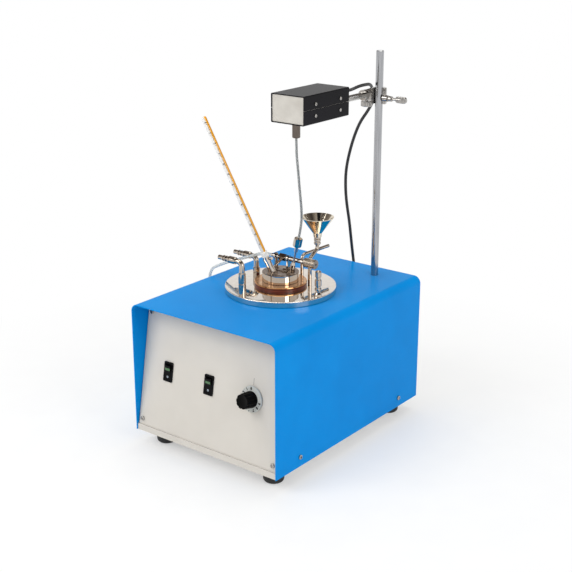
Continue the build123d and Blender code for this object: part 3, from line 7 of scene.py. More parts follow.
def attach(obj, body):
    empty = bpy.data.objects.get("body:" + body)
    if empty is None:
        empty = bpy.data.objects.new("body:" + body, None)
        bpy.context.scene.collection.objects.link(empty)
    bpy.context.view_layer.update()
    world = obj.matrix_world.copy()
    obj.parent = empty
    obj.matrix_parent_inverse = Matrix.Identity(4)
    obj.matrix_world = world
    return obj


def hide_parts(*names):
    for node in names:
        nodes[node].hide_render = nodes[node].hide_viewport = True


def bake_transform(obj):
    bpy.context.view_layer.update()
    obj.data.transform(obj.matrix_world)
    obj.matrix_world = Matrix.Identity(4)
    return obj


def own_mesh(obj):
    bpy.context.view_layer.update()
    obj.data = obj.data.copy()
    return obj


# Dressing for a closed-cup flash point tester. Metres; X to the right, Y to the back, Z up.

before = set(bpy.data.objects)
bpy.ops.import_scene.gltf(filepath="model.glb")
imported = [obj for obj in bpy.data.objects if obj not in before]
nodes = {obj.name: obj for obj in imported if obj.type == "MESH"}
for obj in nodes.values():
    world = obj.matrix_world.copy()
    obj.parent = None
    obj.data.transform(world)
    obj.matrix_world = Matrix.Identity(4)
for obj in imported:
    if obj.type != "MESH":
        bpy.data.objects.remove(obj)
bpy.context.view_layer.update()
MM = 0.001

# ---- sizes and places; those of a solid repeat the solid model's own --------------------------
panel_lean = math.radians(10.0)
panel_foot = Vector((0.0, -186.7, 32.0)) * MM
control_height = 98.5 * MM
main_switch_x = -85.3 * MM
stirrer_switch_x = -3.0 * MM
regulator_x = 80.0 * MM
rocker_tilt = math.radians(10.0)
rocker_pivot_depth = 3.0 * MM
rocker_waist = 5.4 * MM        # rocker's face above its pivot, at the middle
rocker_rise = 1.2 * MM         # and how much its ends stand above that
rocker_half = 11.2 * MM
lens_width = 9.6 * MM
lens_height = 4.2 * MM
lens_thickness = 0.5 * MM
lens_middle = 5.4 * MM         # above the rocker's middle
ring_middle = -7.0 * MM        # below it
ring_radii = (0.8 * MM, 1.7 * MM)
ring_thickness = 0.12 * MM
print_thickness = 0.06 * MM
dial_radius = 19.8 * MM
dial_edge_radius = 18.8 * MM
dial_back = 0.8 * MM
dial_face = 3.2 * MM
grip_radius = 12.4 * MM
grip_top_radius = 11.6 * MM
grip_top = 23.5 * MM
flute_count = 10
flute_depth = 1.3 * MM
figure_radius = 16.1 * MM
figure_size = 5.2 * MM
figure_boldness = 0.08
index_height = 26.5 * MM       # index line's middle above the knob's middle
first_figure = math.radians(4.5)
figure_step = math.radians(28.5)
thermometer_entry = Vector((-12.0, -7.0, 265.0)) * MM
thermometer_lean = math.radians(23.2)
thermometer_heading = (-0.8486, -0.5291)   # way that it leans, in plan
reading_heading = (0.61, -0.79, 0.0)   # from the instrument to whoever reads it
thermometer_radius = 4.0 * MM      # enclosed scale, above the collar
thermometer_above = 261.5 * MM     # stem from the lid to its end
scale_start = 44.0             # millimetres above the lid
scale_end = 252.0
scale_step = 1.71              # millimetres per degree
scale_offset = 0.8 * MM        # marks sit this far round the stem from the side that is read
scale_edge = 0.5               # where every line starts, in millimetres round the stem
scale_figure_across = -1.2     # figure's middle, in millimetres round the stem
scale_figure_up = 2.9          # and above its line
ink_stand_off = 0.02 * MM
thread_radius = 0.3 * MM
thread_start = 40.0 * MM
thread_end = thermometer_above - 4.0 * MM
thread_across = -1.3 * MM
thread_sunk = 0.52 * MM        # its middle below the glass's outside
cable_radius = 2.5 * MM
gas_tube_radius = 2.4 * MM
flex_radius = 2.0 * MM
winding_radius = 0.46 * MM
winding_pitch = 1.15 * MM
winding_depth = 0.55 * MM      # core under the winding's outside
inlet_place = Vector((-90.0, 160.0, 69.0)) * MM
inlet_blades = ((-7.0, -2.5), (0.0, 2.5), (7.0, -2.5))

# ---- routes of the cords, in millimetres ------------------------------------------------------
flex_points = [
    (52.0, -29.0, 499.9),
    (52.0, -29.0, 466.0),
    (50.8, -23.0, 440.0),
    (47.0, -13.5, 404.0),
    (42.6, -2.5, 370.0),
    (35.947, 5.6, 343.73),
    (30.844, 5.6, 322.638),
]
cable_upper_points = [
    (60.0, 71.0, 541.0),
    (60.0, 90.0, 541.0),
    (54.0, 111.0, 540.0),
    (51.0, 131.0, 541.5),
    (50.5, 141.0, 541.5),
]
cable_middle_points = [
    (50.5, 141.0, 541.5),
    (50.0, 151.0, 541.5),
    (48.0, 168.0, 540.0),
    (41.5, 184.5, 529.5),
    (40.0, 191.0, 511.5),
    (30.5, 190.0, 493.5),
    (17.0, 186.0, 473.0),
    (5.0, 185.0, 443.0),
    (-4.5, 186.0, 411.5),
    (-10.5, 188.5, 386.0),
    (-10.5, 188.5, 372.0),
]
cable_lower_points = [
    (-10.5, 188.5, 372.0),
    (-10.5, 188.5, 358.0),
    (-8.5, 190.0, 332.0),
    (-4.5, 193.0, 302.0),
    (-2.0, 196.0, 268.0),
    (0.0, 200.0, 236.0),
    (-1.0, 208.0, 206.0),
    (-2.0, 219.0, 177.0),
    (-2.0, 225.0, 150.0),
    (-2.0, 222.0, 124.0),
    (-2.0, 206.0, 106.0),
    (-2.0, 184.0, 106.0),
]
gas_inner_points = [
    (-28.0, 13.5, 283.0),
    (-37.0, 13.5, 283.0),
    (-44.5, 4.0, 284.0),
    (-52.0, -8.5, 281.5),
    (-64.0, -13.0, 277.3),
    (-71.0, -12.9, 274.4),
]
gas_outer_points = [
    (-71.0, -12.9, 274.4),
    (-78.49, -12.793, 271.297),
    (-101.0, -11.0, 262.5),
    (-121.0, -8.0, 252.5),
    (-139.5, -4.0, 243.0),
    (-151.5, 2.0, 224.0),
    (-154.0, 9.0, 196.0),
    (-153.0, 15.0, 160.0),
    (-154.5, 19.0, 118.0),
    (-153.0, 24.0, 76.0),
    (-154.0, 29.0, 42.0),
    (-157.0, 35.0, 18.0),
    (-156.5, 46.0, 4.6),
    (-152.6, 61.0, 2.4),
    (-152.6, 76.0, 2.4),
]
gas_coil_centre = (-181.0, 96.0)
gas_coil_radii = (28.4, 23.6, 26.0)
gas_coil_levels = (2.4, 2.4, 6.56)
gas_coil_points_per_turn = 16
# last point before the coil, from which the tube runs into its first turn
gas_coil_lead = (gas_coil_centre[0] + gas_coil_radii[0], 86.0, gas_coil_levels[0])
gas_coil_step_from = 0.75      # share of a turn after which it steps to the next one's place


# ---- material tools ---------------------------------------------------------------------------
def colour(hex_code):
    """sRGB hex to the linear colour that a socket takes."""
    channels = []
    for k in (0, 2, 4):
        c = int(hex_code[k : k + 2], 16) / 255
        channels.append(c / 12.92 if c <= 0.04045 else ((c + 0.055) / 1.055) ** 2.4)
    return (*channels, 1.0)


def add(tree, kind, inputs=None, stops=(), **settings):
    """Adds a shader node with its settings, values, links and colour stops."""
    node = tree.nodes.new("ShaderNode" + kind)
    for name, value in settings.items():
        setattr(node, name, value)
    for k, (position, hex_code) in enumerate(stops):
        elements = node.color_ramp.elements
        stop = elements[k] if k < len(elements) else elements.new(position)
        stop.position, stop.color = position, colour(hex_code)
    for socket, value in (inputs or {}).items():
        if isinstance(value, bpy.types.NodeSocket):
            tree.links.new(value, node.inputs[socket])
        else:
            node.inputs[socket].default_value = value
    return node


def new_material(name):
    """A material with an empty node tree, and the object coordinates that its patterns read."""
    material = bpy.data.materials.new(name)
    material.use_nodes = True
    tree = material.node_tree
    tree.nodes.clear()
    return material, tree, add(tree, "TexCoord").outputs["Object"]


def surfaced(material, tint=None, rough=None, relief=None, values=None):
    """The material with its Principled shader, wired to the output.

    tint is a factor and its colour stops, rough is a factor with the least and the greatest
    roughness, relief is a height with its strength and its distance, and values are for the
    shader's other sockets.
    """
    tree = material.node_tree
    inputs = dict(values or {})
    if tint:
        factor, stops = tint
        ramp = add(tree, "ValToRGB", {"Fac": factor}, stops=stops)
        inputs["Base Color"] = ramp.outputs["Color"]
    if rough:
        factor, least, greatest = rough
        span = add(tree, "MapRange", {"Value": factor, "To Min": least, "To Max": greatest})
        inputs["Roughness"] = span.outputs["Result"]
    if relief:
        height, strength, distance = relief
        bump = add(tree, "Bump", {"Height": height, "Strength": strength, "Distance": distance})
        inputs["Normal"] = bump.outputs["Normal"]
    shader = add(tree, "BsdfPrincipled", inputs)
    add(tree, "OutputMaterial", {"Surface": shader.outputs["BSDF"]})
    return material


def per_mm(size):
    """Texture scale whose features are that many millimetres across."""
    return 1.0 / (size * MM)


def bands(spacing):
    """Wave texture scale whose bands are that many millimetres apart."""
    wave_radians = 20.0        # that the texture turns through per unit
    return 2 * math.pi / wave_radians / (spacing * MM)


# ---- materials --------------------------------------------------------------------------------
def powder_coated_steel(name, base, shade, light, roughness, grain, sheen):
    """Polyester powder coat on sheet steel: an even colour with a fine orange-peel skin."""
    material, tree, place = new_material(name)
    cloud = add(
        tree,
        "TexNoise",
        {"Vector": place, "Scale": per_mm(90), "Detail": 3.0, "Roughness": 0.6},
    )
    # the finest peel of such a coat is drawn coarser than it is, so that it shows
    peel = add(tree, "TexNoise", {"Vector": place, "Scale": per_mm(grain), "Detail": 2.0})
    speck = add(tree, "TexNoise", {"Vector": place, "Scale": per_mm(grain * 0.4), "Detail": 1.0})
    return surfaced(
        material,
        tint=(cloud.outputs["Fac"], ((0.3, shade), (0.5, base), (0.72, light))),
        rough=(speck.outputs["Fac"], roughness - 0.06, roughness + 0.08),
        relief=(peel.outputs["Fac"], 0.22, 0.22 * MM),
        values={"IOR": 1.5, "Specular IOR Level": sheen},
    )


def plated_brass(name, base, light, clear, hazy):
    """Nickel or chrome plate over polished brass: a mirror, slightly warm and wavy."""
    material, tree, place = new_material(name)
    wave = add(tree, "TexNoise", {"Vector": place, "Scale": per_mm(14), "Detail": 2.0})
    haze = add(
        tree,
        "TexNoise",
        {"Vector": place, "Scale": per_mm(5), "Detail": 4.0, "Roughness": 0.65},
    )
    return surfaced(
        material,
        tint=(haze.outputs["Fac"], ((0.35, base), (0.65, light))),
        rough=(haze.outputs["Fac"], clear, hazy),
        relief=(wave.outputs["Fac"], 0.05, 0.3 * MM),
        values={"Metallic": 1.0},
    )


def used_chrome_plate():
    """Chrome plate over the oil cup: its upward faces carry a painted dark brown reflection, in
    patches.
    """
    material, tree, place = new_material("chrome_plate_painted_dark_reflection")
    blotch_noise = add(
        tree,
        "TexNoise",
        {"Vector": place, "Scale": per_mm(9), "Detail": 4.0, "Roughness": 0.6},
    )
    normal = add(tree, "NewGeometry").outputs["Normal"]
    parts = add(tree, "SeparateXYZ", {"Vector": normal})
    # mask of the painted reflection: faces that point up
    upward = add(tree, "MapRange", {"Value": parts.outputs["Z"], "From Min": 0.35, "From Max": 0.9})
    painted_reflection_patches = add(tree, "MapRange", {"Value": blotch_noise.outputs["Fac"], "From Min": 0.2, "From Max": 0.55})
    amount = add(
        tree,
        "Math",
        {0: upward.outputs["Result"], 1: painted_reflection_patches.outputs["Result"]},
        operation="MULTIPLY",
    )
    return surfaced(
        material,
        # painted reflection: dark brown on upward faces, broken into patches
        tint=(amount.outputs[0], ((0.0, "CDC4BA"), (0.5, "8A7766"), (1.0, "5B4637"))),
        rough=(amount.outputs[0], 0.05, 0.16),
        values={"Metallic": 1.0},
    )


def brushed_stainless(name, stretch, base, light, roughness):
    """Ground and brushed austenitic steel: soft streaks along the grinding direction."""
    material, tree, place = new_material(name)
    along = add(tree, "Mapping", {"Vector": place, "Scale": stretch})
    streak = add(
        tree,
        "TexNoise",
        {"Vector": along.outputs["Vector"], "Scale": per_mm(1.6), "Detail": 5.0, "Roughness": 0.7},
    )
    return surfaced(
        material,
        tint=(streak.outputs["Fac"], ((0.3, base), (0.7, light))),
        rough=(streak.outputs["Fac"], roughness - 0.08, roughness + 0.1),
        relief=(streak.outputs["Fac"], 0.15, 0.1 * MM),
        values={"Metallic": 1.0},
    )


def zinc_plated_steel():
    """Bright zinc plate: bluish white metal with faint cloudy passivation."""
    material, tree, place = new_material("zinc_plated_steel")
    cloud = add(tree, "TexNoise", {"Vector": place, "Scale": per_mm(4), "Detail": 4.0})
    cast = add(tree, "TexNoise", {"Vector": place, "Scale": per_mm(0.9), "Detail": 3.0})
    return surfaced(
        material,
        tint=(cloud.outputs["Fac"], ((0.3, "9B9895"), (0.7, "BFBCB8"))),
        rough=(cloud.outputs["Fac"], 0.12, 0.28),
        relief=(cast.outputs["Fac"], 0.2, 0.12 * MM),
        values={"Metallic": 1.0},
    )


def satin_aluminium():
    """Etched and clear-anodised aluminium: pale, even and softly bright."""
    material, tree, place = new_material("satin_anodised_aluminium")
    etch = add(tree, "TexNoise", {"Vector": place, "Scale": per_mm(0.7), "Detail": 2.0})
    cloud = add(tree, "TexNoise", {"Vector": place, "Scale": per_mm(25), "Detail": 2.0})
    return surfaced(
        material,
        tint=(cloud.outputs["Fac"], ((0.3, "C4BFB7"), (0.7, "D6D2CA"))),
        rough=(etch.outputs["Fac"], 0.42, 0.6),
        relief=(etch.outputs["Fac"], 0.15, 0.1 * MM),
        values={"Metallic": 0.55},
    )


def moulded_plastic(name, base, light, roughness, grain, sheen):
    """Injection-moulded thermoplastic with a lightly eroded mould texture."""
    material, tree, place = new_material(name)
    spark = add(tree, "TexNoise", {"Vector": place, "Scale": per_mm(grain), "Detail": 3.0})
    return surfaced(
        material,
        tint=(spark.outputs["Fac"], ((0.35, base), (0.75, light))),
        rough=(spark.outputs["Fac"], roughness - 0.06, roughness + 0.08),
        relief=(spark.outputs["Fac"], 0.2, 0.08 * MM),
        values={"IOR": 1.54, "Specular IOR Level": sheen},
    )


def moulded_neoprene():
    """Moulded neoprene: nearly black, dull, with dust in the pores."""
    material, tree, place = new_material("moulded_neoprene")
    pore = add(tree, "TexNoise", {"Vector": place, "Scale": per_mm(1.1), "Detail": 5.0})
    scuff = add(
        tree,
        "TexNoise",
        {"Vector": place, "Scale": per_mm(9), "Detail": 4.0, "Roughness": 0.7},
    )
    return surfaced(
        material,
        tint=(scuff.outputs["Fac"], ((0.35, "141414"), (0.6, "1E1E1F"), (0.8, "323231"))),
        rough=(scuff.outputs["Fac"], 0.55, 0.8),
        relief=(pore.outputs["Fac"], 0.3, 0.2 * MM),
        values={"IOR": 1.52},
    )


def phenolic_laminate():
    """Turned phenolic-cotton laminate: red-brown with fine edge-on plies."""
    material, tree, place = new_material("turned_phenolic_laminate")
    # plies of such a laminate are finer than this; they are drawn coarser so that they show
    plies = add(
        tree,
        "TexWave",
        {
            "Vector": place,
            "Scale": bands(3.157),
            "Distortion": 1.2,
            "Detail": 2.0,
            "Detail Scale": 4.0,
        },
        bands_direction="Z",
    )
    cloud = add(tree, "TexNoise", {"Vector": place, "Scale": per_mm(7), "Detail": 4.0})
    weave = add(tree, "Mix", {"Factor": 0.5, "A": plies.outputs["Fac"], "B": cloud.outputs["Fac"]})
    return surfaced(
        material,
        tint=(weave.outputs["Result"], ((0.25, "47170A"), (0.55, "5E2010"), (0.8, "7C331A"))),
        relief=(plies.outputs["Fac"], 0.25, 0.1 * MM),
        values={"Roughness": 0.33, "IOR": 1.63, "Specular IOR Level": 0.3},
    )


def polished_gunmetal():
    """Turned and polished gunmetal bronze: rosy gold with faint lathe rings."""
    material, tree, place = new_material("polished_gunmetal")
    # turning marks are closer together than this; they are drawn wider so that they show
    rings = add(
        tree,
        "TexWave",
        {"Vector": place, "Scale": bands(2.17), "Distortion": 0.4, "Detail": 1.0},
        wave_type="RINGS",
        rings_direction="Z",
    )
    blotch_noise = add(tree, "TexNoise", {"Vector": place, "Scale": per_mm(12), "Detail": 4.0})
    return surfaced(
        material,
        tint=(blotch_noise.outputs["Fac"], ((0.3, "C28A5A"), (0.55, "D3A374"), (0.8, "E2BE96"))),
        rough=(blotch_noise.outputs["Fac"], 0.1, 0.26),
        relief=(rings.outputs["Fac"], 0.08, 0.1 * MM),
        values={"Metallic": 1.0},
    )


def turned_ptfe():
    """Machined PTFE: waxy white with fine turning marks."""
    material, tree, place = new_material("turned_ptfe")
    marks = add(tree, "TexNoise", {"Vector": place, "Scale": per_mm(1.2), "Detail": 3.0})
    return surfaced(
        material,
        tint=(marks.outputs["Fac"], ((0.3, "E4E2DD"), (0.7, "F4F3F0"))),
        relief=(marks.outputs["Fac"], 0.15, 0.1 * MM),
        values={
            "Roughness": 0.42,
            "IOR": 1.36,
            "Subsurface Weight": 0.2,
            "Subsurface Radius": (2.0 * MM, 2.0 * MM, 2.0 * MM),
        },
    )


def enamel_backed_glass(stem_frame):
    """Lens-front thermometer glass: yellow enamel behind the bore, painted white for the bright
    surround seen through the clear glass, and painted shade at both edges.
    """
    material, tree, place = new_material("enamel_backed_glass")
    local = add(
        tree,
        "Mapping",
        {
            "Vector": place,
            "Location": stem_frame.to_translation(),
            "Rotation": stem_frame.to_euler(),
        },
        vector_type="TEXTURE",
    )
    parts = add(tree, "SeparateXYZ", {"Vector": local.outputs["Vector"]})
    side = add(
        tree,
        "MapRange",
        {
            "Value": parts.outputs["X"],
            "From Min": -thermometer_radius,
            "From Max": thermometer_radius,
        },
    )
    # yellow enamel, then painted white where the clear glass shows the bright surround; the darker
    # first and last stops are painted shade at the stem's edges
    enamel_with_painted_light_and_shade = (
        (0.0, "B87400"),
        (0.08, "E59A00"),
        (0.22, "F4AC0C"),
        (0.37, "EEA000"),
        (0.41, "E9E4DA"),
        (0.92, "F1F0EE"),
        (1.0, "B9BCC2"),
    )
    smear = add(tree, "TexNoise", {"Vector": place, "Scale": per_mm(3), "Detail": 2.0})
    return surfaced(
        material,
        tint=(side.outputs["Result"], enamel_with_painted_light_and_shade),
        rough=(smear.outputs["Fac"], 0.03, 0.09),
        values={"IOR": 1.47, "Coat Weight": 0.3, "Coat Roughness": 0.03},
    )


def printed_ink(name, hex_code):
    """Stoved screen-printing ink: thin and slightly uneven."""
    material, tree, place = new_material(name)
    patch = add(tree, "TexNoise", {"Vector": place, "Scale": per_mm(0.8), "Detail": 3.0})
    return surfaced(
        material,
        rough=(patch.outputs["Fac"], 0.4, 0.6),
        values={"Base Color": colour(hex_code)},
    )


def polycarbonate_lens():
    """Green polycarbonate light pipe over a dark lamp."""
    material, tree, place = new_material("green_polycarbonate")
    fleck = add(tree, "TexNoise", {"Vector": place, "Scale": per_mm(1.5), "Detail": 2.0})
    return surfaced(
        material,
        tint=(fleck.outputs["Fac"], ((0.3, "16521A"), (0.7, "1F6B24"))),
        values={"Roughness": 0.12, "IOR": 1.58, "Coat Weight": 0.6},
    )


def extruded_sheath():
    """Extruded PVC cable sheath: black with a soft sheen."""
    material, tree, place = new_material("extruded_pvc_sheath")
    drag = add(tree, "TexNoise", {"Vector": place, "Scale": per_mm(2.5), "Detail": 4.0})
    return surfaced(
        material,
        tint=(drag.outputs["Fac"], ((0.3, "0E0E10"), (0.7, "1D1D20"))),
        rough=(drag.outputs["Fac"], 0.32, 0.5),
        relief=(drag.outputs["Fac"], 0.2, 0.1 * MM),
        values={"IOR": 1.53},
    )


def platinum_silicone():
    """Clear silicone tubing: milky, soft edges, light passes through it."""
    material, tree, place = new_material("clear_silicone_tubing")
    haze = add(tree, "TexNoise", {"Vector": place, "Scale": per_mm(3.5), "Detail": 3.0})
    return surfaced(
        material,
        tint=(haze.outputs["Fac"], ((0.3, "DDE2E2"), (0.7, "F2F5F4"))),
        rough=(haze.outputs["Fac"], 0.18, 0.32),
        values={"IOR": 1.41, "Transmission Weight": 0.55},
    )


def circuit_board():
    """Glass-epoxy board: green resist below, black and silver parts above it."""
    material, tree, place = new_material("glass_epoxy_board")
    parts = add(tree, "SeparateXYZ", {"Vector": place})
    level = add(
        tree,
        "MapRange",
        {"Value": parts.outputs["Z"], "From Min": 0.025, "From Max": 0.085},
    )
    tracks = add(tree, "TexVoronoi", {"Vector": place, "Scale": per_mm(6)}, distance="MANHATTAN")
    layers = add(
        tree,
        "ValToRGB",
        {"Fac": level.outputs["Result"]},
        stops=(
            (0.0, "A9A7A2"),
            (0.17, "1B5B33"),
            (0.22, "2B2B2E"),
            (0.6, "4A4A4C"),
            (1.0, "8F8E8A"),
        ),
    )
    copper = add(
        tree,
        "ValToRGB",
        {"Fac": tracks.outputs["Distance"]},
        stops=((0.2, "123D24"), (0.8, "C7A65A")),
    )
    tint = add(
        tree,
        "Mix",
        {"Factor": 0.25, "A": layers.outputs["Color"], "B": copper.outputs["Color"]},
        data_type="RGBA",
    )
    return surfaced(material, values={"Base Color": tint.outputs["Result"], "Roughness": 0.45})


# ---- geometry tools ---------------------------------------------------------------------------
def panel_frame(x, h, n):
    """Frame on the front panel: X across, Y up the panel, Z out of it."""
    up = Vector((0, math.sin(panel_lean), math.cos(panel_lean)))
    out = Vector((0, -math.cos(panel_lean), math.sin(panel_lean)))
    origin = panel_foot + Vector((x, 0, 0)) + up * h + out * n
    turn = Matrix((Vector((1, 0, 0)), up, out)).transposed().to_4x4()
    return Matrix.Translation(origin) @ turn


def axis_frame(origin, axis, toward):
    """Frame with Z along axis and Y as near as can be to toward."""
    z = Vector(axis).normalized()
    y = (Vector(toward) - z * Vector(toward).dot(z)).normalized()
    x = y.cross(z)
    return Matrix.Translation(origin) @ Matrix((x, y, z)).transposed().to_4x4()


def piece(name, bm, material, body, smooth=35.0, place=None):
    """Finished mesh piece that rides on a body."""
    if place is not None:
        bm.transform(place)
    mesh = bpy.data.meshes.new(name)
    bm.to_mesh(mesh)
    bm.free()
    mesh.shade_smooth()
    mesh.set_sharp_from_angle(angle=math.radians(smooth))
    mesh.materials.append(material)
    obj = bpy.data.objects.new(name, mesh)
    bpy.context.scene.collection.objects.link(obj)
    if body:
        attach(obj, body)
    return obj


def turned_profile(profile, steps=64):
    """Solid of revolution about Z from (radius, height) points, open ends closed on the axis."""
    bm = bmesh.new()
    rim = [bm.verts.new((r, 0, z)) for r, z in profile]
    edges = [bm.edges.new(pair) for pair in zip(rim, rim[1:])]
    bmesh.ops.spin(
        bm,
        geom=rim + edges,
        cent=(0, 0, 0),
        axis=(0, 0, 1),
        angle=2 * math.pi,
        steps=steps,
        use_merge=True,
    )
    bmesh.ops.remove_doubles(bm, verts=bm.verts, dist=1e-7)
    bmesh.ops.recalc_face_normals(bm, faces=bm.faces)
    return bm


def route_curve(name, points, radius, resolution=12):
    """NURBS line through a cord's route, points in millimetres."""
    curve = bpy.data.curves.new(name, "CURVE")
    curve.dimensions = "3D"
    spline = curve.splines.new("NURBS")
    spline.points.add(len(points) - 1)
    for point, spot in zip(spline.points, points):
        point.co = (spot[0] * MM, spot[1] * MM, spot[2] * MM, 1.0)
    spline.order_u = 3
    spline.use_endpoint_u = True
    curve.resolution_u = resolution
    curve.bevel_depth = radius
    curve.bevel_resolution = 5
    curve.use_fill_caps = radius > 0
    obj = bpy.data.objects.new(name, curve)
    bpy.context.scene.collection.objects.link(obj)
    return obj


def baked(obj, name):
    """Mesh of a curve or text object, which is then removed."""
    bpy.context.view_layer.update()
    graph = bpy.context.evaluated_depsgraph_get()
    mesh = bpy.data.meshes.new_from_object(obj.evaluated_get(graph), depsgraph=graph)
    mesh.name = name
    bpy.data.objects.remove(obj)
    return mesh


def route_line(points):
    """Points read from the route's smooth line."""
    mesh = baked(route_curve("route", points, 0.0), "route")
    line = [v.co.copy() for v in mesh.vertices]
    bpy.data.meshes.remove(mesh)
    return line


def line_length(line):
    """Length along a line of points."""
    return sum((b - a).length for a, b in zip(line, line[1:]))


def cord_tube(name, points, radius, material):
    """Round cord along a route, as a mesh with no parent, and the line that it follows."""
    line = route_line(points)
    mesh = baked(route_curve(name, points, radius), name)
    mesh.shade_smooth()
    mesh.materials.clear()
    mesh.materials.append(material)
    obj = bpy.data.objects.new(name, mesh)
    bpy.context.scene.collection.objects.link(obj)
    return obj, line


def flat_text(words, size, depth, weight=0.02):
    """Text as a thin mesh in the XY plane, centred on the origin."""
    font = bpy.data.curves.new("figures", "FONT")
    font.body = words
    font.size = size
    font.align_x = "CENTER"
    font.align_y = "CENTER"
    font.extrude = depth
    font.offset = weight * size
    obj = bpy.data.objects.new("figures", font)
    bpy.context.scene.collection.objects.link(obj)
    bm = bmesh.new()
    bm.from_mesh(baked(obj, "figures"))
    return bm


def join_meshes(parts):
    """One bmesh from several, each already in place."""
    whole = bmesh.new()
    for part in parts:
        mesh = bpy.data.meshes.new("part")
        part.to_mesh(mesh)
        part.free()
        whole.from_mesh(mesh)
        bpy.data.meshes.remove(mesh)
    return whole


def slab(width, height, depth, corner):
    """Thin plate with rounded corners, its back face on Z = 0."""
    bm = bmesh.new()
    bmesh.ops.create_cube(bm, size=1.0)
    bmesh.ops.scale(bm, vec=(width, height, depth), verts=bm.verts)
    bmesh.ops.translate(bm, vec=(0, 0, depth / 2), verts=bm.verts)
    uprights = [e for e in bm.edges if abs(e.verts[0].co.z - e.verts[1].co.z) > depth / 2]
    bmesh.ops.bevel(
        bm, geom=uprights, offset=corner, segments=5, profile=0.5, affect="EDGES", material=-1
    )
    return bm


# ---- camera -----------------------------------------------------------------------------------
def set_camera():
    """Looks down on the front right corner of the housing."""
    eye = Vector((1065.1, -1358.3, 830.1)) * MM
    target = Vector((10.6, 0.0, 242.2)) * MM
    data = bpy.data.cameras.new("camera")
    data.sensor_width = 36.0
    data.lens = 73.12
    data.clip_start = 0.05
    data.clip_end = 60.0
    camera = bpy.data.objects.new("camera", data)
    camera.location = eye
    camera.rotation_euler = (target - eye).to_track_quat("-Z", "Y").to_euler()
    bpy.context.scene.collection.objects.link(camera)
    bpy.context.scene.camera = camera


# ---- light and floor --------------------------------------------------------------------------
def area_light(name, place, aim, width, height, power, tint):
    """Rectangular lamp that faces its aim."""
    data = bpy.data.lights.new(name, "AREA")
    data.shape = "RECTANGLE"
    data.size = width
    data.size_y = height
    data.energy = power
    data.color = tint
    light = bpy.data.objects.new(name, data)
    light.location = place
    light.rotation_euler = (Vector(aim) - Vector(place)).to_track_quat("-Z", "Y").to_euler()
    bpy.context.scene.collection.objects.link(light)


def seen_plainly(tree):
    """1 where a ray comes from the camera, off polished metal or through glass."""
    rays = add(tree, "LightPath")
    direct = add(
        tree,
        "Math",
        {0: rays.outputs["Is Camera Ray"], 1: rays.outputs["Is Transmission Ray"]},
        operation="MAXIMUM",
    )
    either = add(
        tree,
        "Math",
        {0: direct.outputs[0], 1: rays.outputs["Is Glossy Ray"]},
        operation="MAXIMUM",
    )
    return either.outputs[0]


def set_surround():
    """White round the horizon, dimmer above it and dimmest over the front, white again overhead.

    Diffuse rays see an even grey instead, which fills the shadows.
    """
    world = bpy.data.worlds.new("studio")
    bpy.context.scene.world = world
    world.use_nodes = True
    tree = world.node_tree
    tree.nodes.clear()
    direction = add(tree, "TexCoord").outputs["Generated"]
    parts = add(tree, "SeparateXYZ", {"Vector": direction})
    lift = add(
        tree,
        "MapRange",
        {"Value": parts.outputs["Z"], "From Min": 0.3, "From Max": 0.44},
        interpolation_type="SMOOTHSTEP",
    )
    overhead = add(
        tree,
        "MapRange",
        {
            "Value": parts.outputs["Z"],
            "From Min": 0.78,
            "From Max": 0.95,
            "To Min": 1.0,
            "To Max": 0.0,
        },
        interpolation_type="SMOOTHSTEP",
    )
    band = add(
        tree,
        "Math",
        {0: lift.outputs["Result"], 1: overhead.outputs["Result"]},
        operation="MULTIPLY",
    )
    front = add(tree, "VectorMath", {0: direction, 1: reading_heading}, operation="DOT_PRODUCT")
    depth = add(
        tree,
        "MapRange",
        {
            "Value": front.outputs["Value"],
            "From Min": -0.6,
            "From Max": 0.4,
            "To Min": 0.62,
            "To Max": 1.0,
        },
        interpolation_type="SMOOTHSTEP",
    )
    dim = add(tree, "Math", {0: band.outputs[0], 1: depth.outputs["Result"]}, operation="MULTIPLY")
    ceiling = add(
        tree,
        "ValToRGB",
        {"Fac": dim.outputs[0]},
        stops=((0.0, "FFFFFF"), (0.5, "98918C"), (1.0, "332D2A")),
    )
    seen = add(tree, "Background", {"Color": ceiling.outputs["Color"], "Strength": 1.0})
    diffuse = add(tree, "Background", {"Color": colour("FFFFFF"), "Strength": 0.56})
    plainly = seen_plainly(tree)
    whole = add(tree, "MixShader", {0: plainly, 1: diffuse.outputs[0], 2: seen.outputs[0]})
    add(tree, "OutputWorld", {"Surface": whole.outputs[0]})


def set_lamps():
    """Three broad lamps: the front left one is the brightest, the overhead one is warm."""
    area_light("front_left", (-1.0, -2.0, 1.9), (0, 0, 0.2), 1.5, 1.3, 33.0, (1.0, 0.99, 0.97))
    area_light("right", (2.5, -0.4, 1.5), (0, 0, 0.2), 1.3, 1.3, 21.0, (0.98, 0.99, 1.0))
    area_light("overhead", (0.0, 0.5, 2.6), (0, 0, 0.3), 1.8, 1.3, 15.0, (1.0, 0.98, 0.86))


def matte_backdrop_paper():
    """Uncoated white paper; seen direct, it fades to plain white away from the instrument."""
    material, tree, place = new_material("matte_backdrop_paper")
    fibre = add(tree, "TexNoise", {"Vector": place, "Scale": per_mm(60), "Detail": 2.0})
    tint = add(
        tree,
        "ValToRGB",
        {"Fac": fibre.outputs["Fac"]},
        stops=((0.3, "F4F5F7"), (0.7, "F8F9FA")),
    )
    paper = add(tree, "BsdfPrincipled", {"Base Color": tint.outputs["Color"], "Roughness": 0.75})
    spread = add(tree, "VectorMath", {0: place}, operation="LENGTH")
    fade = add(
        tree,
        "MapRange",
        {"Value": spread.outputs["Value"], "From Min": 0.2, "From Max": 0.75, "To Min": 0.4},
    )
    white = add(tree, "Emission", {"Color": colour("FFFFFF"), "Strength": 1.0})
    plainly = seen_plainly(tree)
    amount = add(tree, "Math", {0: fade.outputs["Result"], 1: plainly}, operation="MULTIPLY")
    mixed = add(tree, "MixShader", {0: amount.outputs[0], 1: paper.outputs[0], 2: white.outputs[0]})
    add(tree, "OutputMaterial", {"Surface": mixed.outputs[0]})
    return material


